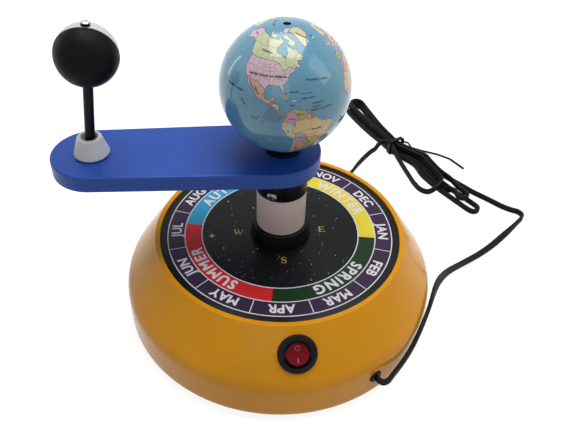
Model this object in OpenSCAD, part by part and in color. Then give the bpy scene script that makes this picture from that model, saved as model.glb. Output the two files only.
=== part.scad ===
// Motorised moon phase demonstrator: a dial base, a geared arm, a globe and a half-dark moon.
// The origin is on the table, under the post's axis. Heights are above the table.

/* [Base] */
// Radius of the base's upright wall
base_r = 105; // [100:0.5:115]
// Height of the dial's face above the table
dial_z = 64; // [62:0.5:75]
// Width of the lip between the dial and the slope
lip_w = 4; // [3:0.5:6]
// Height where the slope's line meets the wall's
corner_z = 32; // [29:0.5:36]
// Wall of the moulded base
base_wall = 3; // [2:0.1:4]
// Rounding where the slope meets the wall
shoulder_round = 18; // [10:0.5:24]
// Rounding of the foot
foot_round = 7; // [5:0.5:9]
// Width of the rim that turns in under the foot
foot_land = 4; // [3:0.5:5]
// Height of the lip above the dial
lip_h = 1.2; // [0.6:0.1:2]
// Rounding of the lip's edges
lip_round = 0.6; // [0.2:0.1:0.9]
// Thickness of the plate that closes the base
plate_t = 3; // [2:0.5:4]
// Radius of the non-slip pad
pad_r = 72; // [50:1:78]
// Thickness of the non-slip pad
pad_t = 1.5; // [1:0.1:3]
// Distance of the plate's screws from its edge
plate_screw_in = 6; // [5.5:0.5:8]
// Number of the plate's screws
plate_screw_n = 4; // [3:1:6]

/* [Dial] */
// Radius of the printed disc
dial_r = 80; // [76:0.5:81]
// Thickness of the printed disc
dial_t = 1; // [0.6:0.1:1.5]

/* [Post] */
// Outer radius of the white tube
tube_r = 16; // [14:0.5:17]
// Wall of the white tube
tube_wall = 2.5; // [2:0.1:3]
// Height of the tube's top
tube_top_z = 102.6; // [98:0.2:108]
// Radius of the socket's foot on the dial
socket_foot_r = 20; // [19:0.5:24]
// Radius of the socket's top
socket_top_r = 18.2; // [18:0.1:19]
// Height of the socket above the dial
socket_h = 10.8; // [8:0.2:14]
// Radius of the ring nut under the deck
nut_r = 24; // [22:0.5:28]
// Thickness of the ring nut
nut_h = 6; // [4:0.5:8]
// Height of the black collar between tube and arm
collar_h = 19; // [14:0.5:24]
// How far the collar's spigot reaches into the tube
spigot_h = 10; // [6:0.5:14]
// Height of the collar's screw above the tube
collar_screw_h = 4; // [3.5:0.1:8]
// Direction of the collar's screw round the axis
collar_screw_deg = -116; // [-180:1:180]
// Radius of the collar's screw
collar_screw_r = 2; // [1.5:0.1:2.5]
// Thickness of the thrust washer
washer_t = 1; // [0.6:0.1:1.5]

/* [Drive] */
// Radius of the drive shaft
shaft_r = 4; // [3:0.1:4.5]
// Radius of the motor's can
motor_r = 25; // [20:0.5:27]
// Height of the motor's can
motor_h = 20; // [14:0.5:22]
// Radius of the motor's own shaft
motor_shaft_r = 3.5; // [2.5:0.1:4]
// Length of the motor's own shaft
motor_shaft_h = 11; // [9:0.5:12]
// Distance from the axis to each of the motor's ear holes
ear_x = 30; // [29:0.5:32]
// Gap between the deck and the motor's plate
hanger_h = 20; // [18:0.5:21]
// Thickness of the motor's plate
motor_plate_t = 2; // [1.5:0.1:3]
// Half the spacing of the motor plate's screws, along X
hanger_x = 38; // [37:0.5:42]
// Half the spacing of the motor plate's screws, along Y
hanger_y = 22; // [18:0.5:26]
// Radius of the shaft coupling
coupling_r = 8; // [7:0.5:9]
// Length of the shaft coupling
coupling_h = 16; // [15:0.5:17]

/* [Arm] */
// Distance from the post's axis to the moon's axis
arm_len = 114; // [112:1:126]
// Radius of the arm's end over the post
arm_hub_r = 27; // [25:0.5:30]
// How far the centre of that end lies toward the moon
arm_hub_shift = 3.7; // [0:0.1:5]
// Radius of the arm's end under the moon
arm_tip_r = 24.6; // [23:0.1:28]
// Thickness of the arm
arm_t = 10.2; // [10:0.1:13]
// Wall of the arm's moulding
arm_wall = 2; // [1.5:0.1:2.5]
// Rounding of the arm's upper edge
arm_round = 1; // [0.4:0.1:1.4]
// Thickness of the arm's bottom cover
cover_t = 1.6; // [1.4:0.1:2]
// Distance of the arm's screws from its middle line
arm_screw_y = 20.2; // [19.5:0.1:20.5]
// Radius of the pins that carry the idlers
pin_r = 2; // [1.5:0.1:2.5]

/* [Gears] */
// Teeth of the sun gear, the middle idler and the moon gear
even_teeth = 28; // [24:2:32]
// Teeth of the first and third idlers
odd_teeth = 29; // [25:2:33]
// Thickness of the gears
gear_t = 4.6; // [4:0.1:5]
// Pressure angle of the teeth
pressure_deg = 20; // [20:0.5:22]
// Total play between two meshing flanks
backlash = 0.16; // [0.1:0.02:0.3]

/* [Globe] */
// Radius of the globe
globe_r = 37.8; // [34:0.2:42]
// Wall of the globe
globe_wall = 1.5; // [1:0.1:2.5]
// Height of the hub that the globe sits on
seat_h = 5.3; // [4.5:0.1:8]
// Radius of the hub's flange on the arm
seat_flange_r = 11; // [10:0.5:14]
// Radius of the spindle through the globe
spindle_r = 2; // [1.5:0.1:2.2]
// Radius of the plug in each pole
pole_plug_r = 2.7; // [2.5:0.1:3.5]

/* [Moon] */
// Radius of the moon ball
moon_r = 17.5; // [15:0.5:20]
// How much smaller the light half is
light_step = 0.3; // [0.1:0.05:0.5]
// Wall of the moon ball
moon_wall = 2; // [1.5:0.1:3]
// Distance from the rod's seat to the ball's centre
moon_reach = 57.8; // [50:0.2:66]
// Lean of the rod toward the globe
moon_lean = 6.9; // [0:0.1:8]
// Radius of the rod
rod_r = 2.9; // [2.5:0.1:3.2]
// Radius of the white socket's foot
cone_foot_r = 10.6; // [9:0.1:12]
// Radius of the white socket's top
cone_top_r = 7.3; // [6.8:0.1:8]
// Height of the white socket
cone_h = 11.5; // [10:0.1:16]
// Radius of the hole in the socket's top
cone_hole_r = 4.6; // [4.2:0.1:5]
// Rounding of the socket's top edge
cone_round = 1.2; // [0.5:0.1:1.5]
// Radius of the spigot that turns in the arm
moon_spigot_r = 5; // [4:0.1:5.5]

/* [Switch] */
// Radius of the switch's bezel
bezel_r = 12; // [11:0.5:13]
// Height of the bezel above its seat
bezel_h = 2.2; // [1.6:0.1:3]
// Radius of the switch's body behind the panel
switch_body_r = 9.9; // [9.5:0.1:10.3]
// Depth of the switch's body behind the panel
switch_body_h = 15; // [12:0.5:18]
// Radius of the rocker
rocker_r = 7.2; // [6.5:0.1:7.5]
// Tilt of the rocker each way
rocker_tilt = 11; // [8:0.5:13]
// Height of the switch's centre above the table
switch_z = 50.5; // [49:0.5:52]
// Direction of the switch round the axis
switch_deg = -88.2; // [-100:0.5:-80]

/* [Lead] */
// Width of the flat twin lead
lead_w = 5.2; // [4.6:0.1:5.6]
// Thickness of the flat twin lead
lead_t = 2.8; // [2.4:0.1:3.2]
// Height of the lead's hole above the table
lead_z = 20.5; // [18:0.5:24]
// Direction of the lead's hole round the axis
lead_deg = -59.4; // [-66:0.2:-56]
// Radius of the grommet's flange
grommet_r = 5; // [4.6:0.1:6]
// Side step between the hank's turns
turn_step = 3.6; // [3.5:0.05:3.8]
// Height step between the hank's layers
layer_step = 6; // [5.9:0.05:6.2]
// Reach of the hank's turns toward its far end
far_reach = 84; // [76:1:90]
// Radius of the outer turn at the far end
far_turn_r = 9.4; // [8:0.1:11]
// Radius of the turns at the near end
near_turn_r = 4.4; // [4:0.1:5]
// Length of the plug's body
plug_len = 34; // [30:0.5:40]
// Width of the plug's body
plug_w = 34; // [32:0.5:38]
// Thickness of the plug's body
plug_t = 13; // [11:0.5:16]
// Radius of the plug's pins
plug_pin_r = 2; // [1.9:0.05:2.4]
// Length of the plug's pins
plug_pin_h = 19; // [17:0.5:20]
// Half the spacing of the plug's pins
plug_pin_y = 9.5; // [9:0.25:10]

/* [Hidden] */
$fn = 96;

// Clearances: fixed parts that touch, parts that run, and parts that only pass each other
fit = 0.05;
run = 0.05;
pass = 0.15;
air = 0.6;

// Colours
yellow = "#f2ae12";
blue = "#2450b4";
black = "#1c1c1e";
white = "#e8e4e0";
steel = "#b8bcc2";
brass = "#b99a55";
nylon = "#e6e0cc";

// Base, worked out from its sizes
rim_z = pad_t;
slope_top_r = dial_r + lip_w;
slope_deg = atan((dial_z - corner_z) / (base_r - slope_top_r));
deck_z = dial_z - dial_t;
deck_low_z = deck_z - base_wall;
opening_r = base_r - foot_round - foot_land;
plate_r = opening_r - pass;
plate_screw_r = opening_r - plate_screw_in;
plate_top_z = rim_z + plate_t;
boss_r = 4.5;
small_screw_r = 1.5;
plate_screw_deg = 45;

// Radius of the slope at height z, inset by t square to it
function slope_r(z, t = 0) = slope_top_r + (dial_z - z) / tan(slope_deg) - t / sin(slope_deg);
function arc(cx, cy, r, a0, a1, n) =
    [for (i = [0:n]) [cx + r * cos(a0 + (a1 - a0) * i / n), cy + r * sin(a0 + (a1 - a0) * i / n)]];
// The rounded corner between wall and slope, inset by t
function shoulder(t) =
    let (
        r = shoulder_round - t,
        wall = base_r - t,
        meet_z = dial_z - (wall - slope_top_r + t / sin(slope_deg)) * tan(slope_deg),
        drop = r * tan((90 - slope_deg) / 2)
    )
    arc(wall - r, meet_z - drop, r, 0, 90 - slope_deg, 6);
function foot(t) = arc(base_r - foot_round, rim_z + foot_round, foot_round - t, -90, 0, 7);

// Post, collar and drive heights
tube_seat_z = deck_low_z + 2;
tube_in_r = tube_r - tube_wall;
thread_r = tube_r + 1.6;
nut_top_z = deck_low_z;
socket_low_z = nut_top_z - nut_h - 2;
collar_top_z = tube_top_z + collar_h;
arm_z = collar_top_z + washer_t;
arm_top_z = arm_z + arm_t;
cover_top_z = arm_z + cover_t;
top_plate_z = arm_top_z - arm_wall;
gear_z = (cover_top_z + top_plate_z - gear_t) / 2;
gear_top_z = gear_z + gear_t;
pin_boss_h = gear_z - cover_top_z - run;
motor_plate_z = deck_low_z - hanger_h - motor_plate_t;
motor_plate_top_z = motor_plate_z + motor_plate_t;
coupling_z = motor_plate_top_z + 1.2;
shaft_low_z = motor_plate_z + motor_shaft_h + 0.4;
seat_top_z = arm_top_z + seat_h;
shaft_top_z = arm_top_z + 1.2;
sleeve_r = shaft_r + 3;
bush_r = shaft_r + 2;
sleeve_low_z = tube_top_z - spigot_h + 2;
key_side = 11;
globe_gap = 0.3;
globe_z = seat_top_z + globe_gap + globe_r;

// Gears: five in a row, so four equal centre distances
centre_step = arm_len / 4;
module_mm = 2 * centre_step / (even_teeth + odd_teeth);
axle_x = [for (i = [0:4]) -i * centre_step];
gear_hub_r = moon_spigot_r + 2;

// Moon
bush_flange_t = 0.6;
cone_z = arm_top_z + bush_flange_t + run;
cone_top_z = cone_z + cone_h;
rod_foot_z = cone_z + 6.5;
moon_bush_r = moon_spigot_r + 2;
ferrule_h = 2.6;
ferrule_r = 2.5;
head_h = 1.4;

// Switch: the panel's frame has +X down the slope and +Z out of it
switch_r = slope_r(switch_z);
switch_seat = 0.8;
well_r = rocker_r + pass;

// Base, dial and post, small parts
lip_top_z = dial_z + lip_h;
dial_seat_r = dial_r + pass;
small_head_r = 2.8;
small_head_h = 1.6;
plate_screw_h = 14;
hanger_screw_h = 12;
plate_rib_r = opening_r - 48;
rib_t = 2;
grommet_neck_r = 3.8;
grommet_out_r = base_r + fit + 2;
tube_ledge = 0.3;
nut_notch_n = 8;
collar_r = tube_r + 0.3;
collar_head_r = 3.3;
web_step = 0.8;
motor_boss_r = 9;
motor_shaft_z = motor_plate_z - 6;
ear_t = 1;
set_screw_z = [coupling_z + coupling_h / 4, coupling_z + coupling_h * 3 / 4];
ear_w = 12;
ear_end = 4;
pan_h = 2;
nut_t = 2.4;
screw_out = 4;
spindle_depth = 8;
seat_boss_r = 7.5;

// Switch
well_h = 8;
rocker_z = 0.2;
rocker_top = 1.5;
rocker_depth = 5;
rocker_pin_r = 1;
rocker_pin_y = 8.6;
blade_y = [-5, 0, 5];
blade_h = 9;

// Terminal block and clamp on the plate
terminal_w = 28;
terminal_d = 14;
terminal_h = 12;
terminal_step = 9;
wire_r = 1;
clamp_in = 30.6;
clamp_deg = 99.5;
clamp_at = (base_r - clamp_in) * [cos(lead_deg), sin(lead_deg), 0];
terminal_x = clamp_at[0] + 20;
terminal_y = clamp_at[1] + 34;

// Arm, globe and moon
arm_screw_r = 1.2;
arm_screw_h = 8;
pin_low_z = arm_z + 0.5;
pin_top_z = arm_top_z - 1;
plug_flange_z = sqrt(pow(globe_r - globe_wall, 2) - pow(pole_plug_r + 1.3, 2)) - fit;
keeper_t = 0.9;
keeper_h = 6;
hole_h = 6;
rod_depth = 3.5;
rod_step_z = moon_reach - moon_r / 2;
rod_tip_r = 2;
moon_top = moon_reach + sqrt(pow(moon_r - light_step, 2) - pow(ferrule_r, 2)) - fit;
head_screw_h = 8;

// Plug
relief_len = 10;
relief_n = 4;
plug_x = 36;
plug_y = 128;
pin_depth = 7;
pin_step = 0.4;

// Hank: its axis is an arc, and a place on it is told by the way along it and the way across
tie_x = 123;
tie_y = 172;
tie_deg = -66.4;
axis_bend = 0.11;
tie_w = 4;
tie_t = 0.7;
tie_air = 0.5;
tie_floor = 0.1;
tie_lift = 1.4;
low_z = lead_w / 2;
top_z = lead_w / 2 + layer_step;
far_s = far_reach - far_turn_r;
near_s = 100;
top_near_s = 87;
near_mid = 1;
inner_far_r = far_turn_r - turn_step - 0.1;

function smooth(x) = let (c = min(1, max(0, x))) c * c * (3 - 2 * c);
function mix(a, b, x) = a + (b - a) * x;
// The bulge beside the tie, and the lift over the tie's band
function bulge(s) = s > 2 && s < 50 ? 5.5 * pow(sin(180 * (s - 2) / 48), 2) : 0;
function tie_rise(s) = tie_lift * exp(-pow(s / 25, 2));
function on_axis(s, across, z) =
    let (h = tie_deg + axis_bend * s, k = axis_bend * PI / 180)
    [
        tie_x + (sin(h) - sin(tie_deg)) / k - across * sin(h),
        tie_y - (cos(h) - cos(tie_deg)) / k + across * cos(h),
        z + tie_rise(s)
    ];
// A strand's way across at s: from its place at the waist to its place in the turn
function spread(waist, turn, s, reach) = mix(waist, turn, smooth(abs(s) / reach));
function half_turn(s, mid, r, z, side, a0, a1, n) =
    [for (i = [0:n]) let (a = a0 + (a1 - a0) * i / n) on_axis(s + side * r * cos(a), mid + r * sin(a), z)];

// Strands are counted from the stretch's end; far is away from the loose loop
function far_half(waist, r, z, back_waist) = concat(
    [for (s = [-12, -28, -46, -62]) on_axis(s, spread(waist, r, s, far_s), z)],
    half_turn(-far_s, 0, r, z, -1, 90, -90, 4),
    [for (s = [-58, -36, -14]) on_axis(s, spread(back_waist, -r, s, far_s), z)]
);
// The loose loop crosses the bunch, lies beside it and comes back to the tie
loose_loop = [
    [60, 3.6, top_z], [64, -0.5, top_z], [66.5, -5.5, top_z], [66.5, -10.5, top_z - 1.5],
    [63.5, -15, low_z + 1], [57, -17.5, low_z], [48, -16.4, low_z], [37, -13, low_z],
    [25, -9.8, low_z + 0.6], [14, -8.2, low_z + 3], [7, -7, top_z - 0.4], [1.5, -5.6, top_z],
    [-3, -5.6, top_z], [-6.2, -7.8, top_z], [-7.2, -11.5, top_z], [-6.2, -15.5, top_z - 1.5],
    [-4.6, -19.5, top_z - 3.5]
];
hank_path = concat(
    [on_axis(84, 17.8, low_z), on_axis(76, 17, low_z)],
    [
        for (p = [[64, 15.4], [50, 14], [36, 16.6], [24, 19], [14, 16], [8.4, 10.2], [4, 6.05], [0, 5.4]])
            on_axis(p[0], p[1], low_z)
    ],
    far_half(1.5 * turn_step, far_turn_r, low_z, -1.5 * turn_step),
    [
        for (s = [1, 14, 28, 42, 60, 84])
            on_axis(s, spread(-1.5 * turn_step, near_mid - near_turn_r, s, 50) + bulge(s), low_z)
    ],
    half_turn(near_s, near_mid, near_turn_r, low_z, 1, -90, 90, 4),
    [
        for (s = [78, 60, 42, 28, 14, 1])
            on_axis(s, spread(0.5 * turn_step, near_mid + near_turn_r, s, 50) + bulge(s), low_z)
    ],
    far_half(0.5 * turn_step, inner_far_r, low_z, -0.5 * turn_step),
    [
        for (s = [1, 14, 28, 42, 66])
            on_axis(s, spread(-0.5 * turn_step, near_mid - 0.9, s, 50) + bulge(s), low_z)
    ],
    [
        for (s = [72, 76, 80, 84])
            on_axis(
                s,
                mix(near_mid - 0.9, near_mid - near_turn_r, smooth((s - 78) / 9)),
                mix(low_z, top_z, smooth((s - 68) / 11))
            )
    ],
    half_turn(top_near_s, near_mid, near_turn_r, top_z, 1, -90, 90, 4),
    [
        for (s = [78, 66, 52, 40, 28, 14, 1])
            let (turn = near_mid + 8.4 - 4 * smooth((s - 62) / 22))
            on_axis(s, spread(0.5 * turn_step, turn, s, 44) + bulge(s), top_z)
    ],
    far_half(0.5 * turn_step, inner_far_r, top_z, -0.5 * turn_step),
    [
        for (s = [1, 14, 28, 40, 52])
            on_axis(s, spread(-0.5 * turn_step, near_mid + 4.4, s, 44) + bulge(s), top_z)
    ],
    [for (p = loose_loop) on_axis(p[0], p[1], p[2])]
);
// The tie's tail leaves the band's side, over the strand that comes in
tie_in = 1.5 * turn_step + lead_t / 2 + tie_air;
tie_tail = concat(
    [on_axis(0, tie_in + tie_t + 0.3, 9 - tie_lift), on_axis(1.5, tie_in + 6, 7 - tie_lift)],
    [[139, 172, 4], [150, 169.5, 1.6], [162, 165, 0.8], [172, 157.5, 0.8], [181, 142, 0.8]]
);

// Least gap of the hank to itself, measured between points four to a step along it
hank_points = [
    for (i = [0:len(hank_path) - 2], k = [0:3]) hank_path[i] + (hank_path[i + 1] - hank_path[i]) * k / 4
];
function gap_of(p, q) =
    let (h = norm([p[0] - q[0], p[1] - q[1]]) - lead_t, v = abs(p[2] - q[2]) - lead_w)
    h > 0 && v > 0 ? norm([h, v]) : max(h, v);
hank_gap = min([
    for (i = [0:len(hank_points) - 17])
        min([for (j = [i + 16:len(hank_points) - 1]) gap_of(hank_points[i], hank_points[j])])
]);
echo(hank_gap = hank_gap, hank_rings = len(hank_path));

// Route of the free stretches: X, Y, the lift of the lead's lowest edge, and its roll
stretch_route = [
    [57.4, -95.2, 18, 90], [60.6, -94.4, 18, 90], [64.6, -90, 17.4, 90], [70, -83.6, 16.2, 90],
    [76.4, -76.2, 16.6, 90], [82.3, -69.2, 20, 90], [87.5, -62, 24.2, 90], [92.4, -54.2, 27.2, 90],
    [97.2, -45.6, 28.4, 90], [102, -36, 27.4, 80], [107.2, -25.5, 24.6, 65], [113.2, -15, 20.6, 45],
    [120.2, -5, 16, 25], [128.6, 4.6, 11.4, 10], [138.6, 13.6, 7, 0], [150, 22.6, 3.2, 0],
    [162.5, 31.6, 0.8, 0], [175, 40.6, 0, 10], [186, 49.2, 0, 35], [196, 57.6, 0, 70],
    [204, 65, 0, 90], [209.6, 70.4, 0, 90], [211.6, 74.6, 0, 90], [209.6, 78.6, 0, 90],
    [204.6, 81.4, 0, 90], [198.5, 86, 0, 90], [190, 95, 0, 90]
];
tail_route = [
    [98, 163.2, 4.6, 90], [91, 157.3, 2.4, 90], [83.8, 149.2, 0.8, 80], [77, 140, 0, 55],
    [69.5, 132.4, 0, 25], [60, 128.4, 1.6, 0], [50, 127.9, 4.6, 0]
];
function points_of(route) = [for (p = route) [p[0], p[1], p[2] + half_height(p[3])]];
function rolls_of(route) = [for (p = route) p[3]];
lead_way = [cos(lead_deg), sin(lead_deg), 0];
lead_start = grommet_out_r * lead_way + [0, 0, lead_z];
hank_in = hank_path[0] - unit(hank_path[1] - hank_path[0]) * lead_w;
hank_last = hank_path[len(hank_path) - 1];
hank_out = hank_last + unit(hank_last - hank_path[len(hank_path) - 2]) * lead_w;
stretch_path = concat(
    [lead_start, lead_start + lead_way * 1.6],
    points_of(stretch_route),
    [hank_in, hank_path[0]]
);
stretch_rolls = concat([90, 90], rolls_of(stretch_route), [90, 90]);
tail_path = concat(
    [hank_last, hank_out],
    points_of(tail_route),
    [[plug_x + lead_w, plug_y, plug_t / 2], [plug_x, plug_y, plug_t / 2]]
);
tail_rolls = concat([90, 90], rolls_of(tail_route), [0, 0]);

// Wires inside the base: X, Y, Z and roll
feed_start = (base_r - base_wall - 2) * lead_way;
feed_end_x = terminal_x - terminal_step;
block_low_y = terminal_y - terminal_d / 2;
block_high_y = terminal_y + terminal_d / 2;
wire_z = plate_top_z + 4;
clamp_z = plate_top_z + lead_t / 2 + pass;
feed_route = [
    [feed_start[0], feed_start[1], lead_z, 90], [feed_start[0] - 2.6, feed_start[1] + 4.4, lead_z, 90],
    [clamp_at[0] + 6, clamp_at[1] - 13, 15, 50], [clamp_at[0] + 1, clamp_at[1] - 6, clamp_z, 0],
    [clamp_at[0] - 1, clamp_at[1] + 6, clamp_z, 0], [clamp_at[0] + 1, clamp_at[1] + 14, 7, 0],
    [clamp_at[0] + 5.6, clamp_at[1] + 20, 8, 0],
    [feed_end_x, block_low_y - lead_w, wire_z, 0],
    [feed_end_x, block_low_y, wire_z, 0]
];
function motor_wire(x, y) = [
    [x, block_high_y, wire_z, 0], [x, block_high_y + 5, wire_z, 0], [x - 6, y - 5, 12, 0], [40, y, 20, 0],
    [32, y, 26, 0], [motor_r + fit, y, 26, 0]
];
// The inner end of a switch blade, and the way the wire comes to it
blade_way = [sin(slope_deg) * cos(switch_deg), sin(slope_deg) * sin(switch_deg), cos(slope_deg)];
blade_side = [-sin(switch_deg), cos(switch_deg), 0];
function blade_end(y, back) =
    [switch_r * cos(switch_deg), switch_r * sin(switch_deg), switch_z]
        - blade_way * (switch_seat + switch_body_h + blade_h + back) + blade_side * y;
function switch_wire(x, y) = [
    [x, block_low_y, wire_z, 0], [x, block_low_y - 5, wire_z, 0], [x - 22, block_low_y - 14, 16, 0],
    [y + 10, block_low_y - 20, 28, 0], [each blade_end(y, 6), 0], [each blade_end(y, 0), 0]
];
wire_routes = [
    motor_wire(terminal_x, -4), motor_wire(terminal_x + terminal_step, 4),
    switch_wire(terminal_x, blade_y[0]), switch_wire(terminal_x + terminal_step, blade_y[2])
];

module panel_frame() {
    rotate([0, 0, switch_deg])
        translate([switch_r, 0, switch_z])
            rotate([0, slope_deg, 0])
                translate([0, 0, -switch_seat])
                    children();
}

module tube_ring(outer, inner, z0, z1) {
    difference() {
        translate([0, 0, z0]) cylinder(r = outer, h = z1 - z0);
        translate([0, 0, z0 - 1]) cylinder(r = inner, h = z1 - z0 + 2);
    }
}

module around(n, r, first = 0) {
    for (i = [0:n - 1])
        rotate([0, 0, first + i * 360 / n])
            translate([r, 0, 0])
                children();
}

module corners(x, y) {
    for (sx = [-1, 1], sy = [-1, 1])
        translate([sx * x, sy * y, 0])
            children();
}

module rounded_box(size, r) {
    translate([-size[0] / 2, -size[1] / 2 + r, 0]) cube([size[0], size[1] - 2 * r, size[2]]);
    translate([-size[0] / 2 + r, -size[1] / 2, 0]) cube([size[0] - 2 * r, size[1], size[2]]);
    corners(size[0] / 2 - r, size[1] / 2 - r) cylinder(r = r, h = size[2], $fn = 32);
}

module slope_bore(r, depth) {
    panel_frame() translate([0, 0, -depth]) cylinder(r = r, h = depth + 1);
}

module wall_frame(r) {
    rotate([0, 0, lead_deg]) translate([r, 0, lead_z]) rotate([0, 90, 0]) children();
}

// A screw with its head down and its tip up
module flat_screw(r, head_r, head_h, length) {
    cylinder(r1 = head_r, r2 = r, h = head_h);
    cylinder(r = r, h = length);
}

module pan_screw(r, head_r, head_h, length) {
    translate([0, 0, -head_h]) cylinder(r = head_r, h = head_h);
    cylinder(r = r, h = length);
}

module base_pad() {
    color(black) cylinder(r = pad_r, h = pad_t);
}

module base_plate() {
    color(black) difference() {
        union() {
            translate([0, 0, rim_z]) cylinder(r = plate_r, h = plate_t);
            tube_ring(plate_rib_r, plate_rib_r - 2, plate_top_z - 1, plate_top_z + 3);
        }
        around(plate_screw_n, plate_screw_r, plate_screw_deg) {
            translate([0, 0, rim_z - 1]) cylinder(r = small_screw_r + pass, h = plate_t + 2);
            translate([0, 0, rim_z])
                cylinder(r1 = small_head_r + pass, r2 = small_screw_r + pass, h = small_head_h);
        }
    }
}

module plate_screws() {
    color(steel) around(plate_screw_n, plate_screw_r, plate_screw_deg)
        translate([0, 0, rim_z]) flat_screw(small_screw_r, small_head_r, small_head_h, plate_screw_h);
}

module base_outside() {
    rotate_extrude($fn = 180) polygon(concat(
        [[0, rim_z]],
        foot(0),
        shoulder(0),
        arc(slope_r(lip_top_z - lip_round, lip_round), lip_top_z - lip_round, lip_round,
            90 - slope_deg, 90, 4),
        arc(dial_seat_r + lip_round, lip_top_z - lip_round, lip_round, 90, 180, 4),
        [[dial_seat_r, deck_z], [0, deck_z]]
    ));
}

module base_inside() {
    rotate_extrude($fn = 180) polygon(concat(
        [[0, rim_z - 1], [opening_r, rim_z - 1], [opening_r, rim_z + base_wall]],
        foot(base_wall),
        shoulder(base_wall),
        [[slope_r(deck_low_z, base_wall), deck_low_z], [0, deck_low_z]]
    ));
}

module base_bosses() {
    around(plate_screw_n, plate_screw_r, plate_screw_deg) {
        translate([0, 0, plate_top_z]) cylinder(r = boss_r, h = deck_z - plate_top_z);
        translate([0, -rib_t / 2, plate_top_z + base_wall])
            cube([base_r - plate_screw_r, rib_t, deck_z - plate_top_z - base_wall]);
    }
    translate([0, 0, motor_plate_top_z])
        corners(hanger_x, hanger_y) cylinder(r = boss_r, h = deck_z - motor_plate_top_z);
}

module base_shell() {
    color(yellow) difference() {
        union() {
            difference() {
                base_outside();
                base_inside();
            }
            intersection() {
                base_outside();
                base_bosses();
            }
        }
        translate([0, 0, deck_low_z - 1]) cylinder(r = thread_r + pass, h = base_wall + 2);
        around(plate_screw_n, plate_screw_r, plate_screw_deg)
            translate([0, 0, plate_top_z - 1]) cylinder(r = small_screw_r + fit, h = plate_screw_h);
        translate([0, 0, motor_plate_top_z - 1])
            corners(hanger_x, hanger_y) cylinder(r = small_screw_r + fit, h = hanger_screw_h);
        panel_frame() cylinder(r = bezel_r + pass, h = bezel_r / 2);
        slope_bore(switch_body_r + pass, 2 * base_wall);
        wall_frame(base_r - 2 * base_wall) cylinder(r = grommet_neck_r + pass, h = 4 * base_wall);
    }
}

module dial_disc() {
    color(black) tube_ring(dial_r, thread_r + pass, deck_z, dial_z);
}

module post_socket() {
    top_z = dial_z + socket_h;
    color(black) rotate_extrude() polygon(concat(
        [
            [tube_in_r - tube_ledge, socket_low_z],
            [thread_r, socket_low_z],
            [thread_r, dial_z],
            [socket_foot_r, dial_z],
            [socket_foot_r, dial_z + 1]
        ],
        arc(socket_top_r - 1, top_z - 1, 1, 10, 90, 5),
        [
            [tube_r + fit, top_z],
            [tube_r + fit, tube_seat_z],
            [tube_in_r - tube_ledge, tube_seat_z]
        ]
    ));
}

module socket_nut() {
    color(black) difference() {
        tube_ring(nut_r, thread_r + fit, nut_top_z - nut_h, nut_top_z);
        around(nut_notch_n, nut_r + 1)
            translate([0, 0, nut_top_z - nut_h - 1]) cylinder(r = 2.6, h = nut_h - 1, $fn = 32);
    }
}

module post_tube() {
    color(white) tube_ring(tube_r, tube_in_r, tube_seat_z, tube_top_z);
}

module lower_bush() {
    color(nylon) tube_ring(tube_in_r - fit, shaft_r + run, tube_seat_z, tube_seat_z + spigot_h);
}

// The collar's screw points at the axis
module collar_frame(r) {
    rotate([0, 0, collar_screw_deg]) translate([r, 0, tube_top_z + collar_screw_h]) rotate([0, -90, 0])
        children();
}

module top_collar() {
    color(black) difference() {
        rotate_extrude() polygon(concat(
            [
                [sleeve_r + fit, tube_top_z - spigot_h],
                [tube_in_r - fit, tube_top_z - spigot_h],
                [tube_in_r - fit, tube_top_z],
                [collar_r, tube_top_z]
            ],
            arc(collar_r - 0.8, collar_top_z - 0.8, 0.8, 0, 90, 4),
            [[sleeve_r + fit, collar_top_z]]
        ));
        collar_frame(collar_r + 1) cylinder(r = collar_screw_r + fit, h = collar_r, $fn = 48);
    }
}

module collar_screw() {
    color(steel) collar_frame(collar_r + fit)
        pan_screw(collar_screw_r, collar_head_r, pan_h, collar_r - sleeve_r);
}

module thrust_washer() {
    color(nylon) tube_ring(collar_r - 0.5, sleeve_r + fit, collar_top_z, arm_z);
}

module upper_bush() {
    color(nylon) tube_ring(bush_r, shaft_r + run, sleeve_low_z, gear_top_z);
}

function inv(a) = tan(a) * 180 / PI - a;
// Half the angle that a tooth of a gear with n teeth takes up at radius r
function tooth_half(n, r) =
    let (rp = n * module_mm / 2)
    90 / n - backlash / 4 / rp * 180 / PI + inv(pressure_deg)
        - inv(acos(min(1, rp * cos(pressure_deg) / r)));
function tooth(n) =
    let (
        rp = n * module_mm / 2,
        rb = rp * cos(pressure_deg),
        tip = rp + module_mm,
        root = rp - 1.25 * module_mm,
        rise = [for (i = [0:3]) rb + (tip - rb) * i / 3]
    )
    concat(
        [[root, -tooth_half(n, rb)]],
        [for (r = rise) [r, -tooth_half(n, r)]],
        [for (i = [3:-1:0]) [rise[i], tooth_half(n, rise[i])]],
        [[root, tooth_half(n, rb)]]
    );

module gear(n, bore, hub, phase) {
    rim = n * module_mm / 2 - 3 * module_mm;
    difference() {
        translate([0, 0, gear_z]) linear_extrude(gear_t) polygon([
            for (i = [0:n - 1], p = tooth(n))
                let (a = (i + phase) * 360 / n + p[1]) [p[0] * cos(a), p[0] * sin(a)]
        ]);
        translate([0, 0, gear_z - 1]) cylinder(r = bore, h = gear_t + 2);
        tube_ring(rim, hub, gear_z - 1, gear_z + web_step);
        tube_ring(rim, hub, gear_top_z - web_step, gear_top_z + 1);
    }
}

module sun_gear() {
    color(nylon) {
        gear(even_teeth, bush_r + fit, sleeve_r, 0);
        tube_ring(sleeve_r, bush_r + fit, sleeve_low_z, gear_top_z);
    }
}

module idler(k, n, phase) {
    color(nylon) translate([axle_x[k], 0, 0]) gear(n, pin_r + run, gear_hub_r, phase);
}

module idler_gear_1() idler(1, odd_teeth, 0.5);
module idler_gear_2() idler(2, even_teeth, 0.5);
module idler_gear_3() idler(3, odd_teeth, 0);

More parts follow.
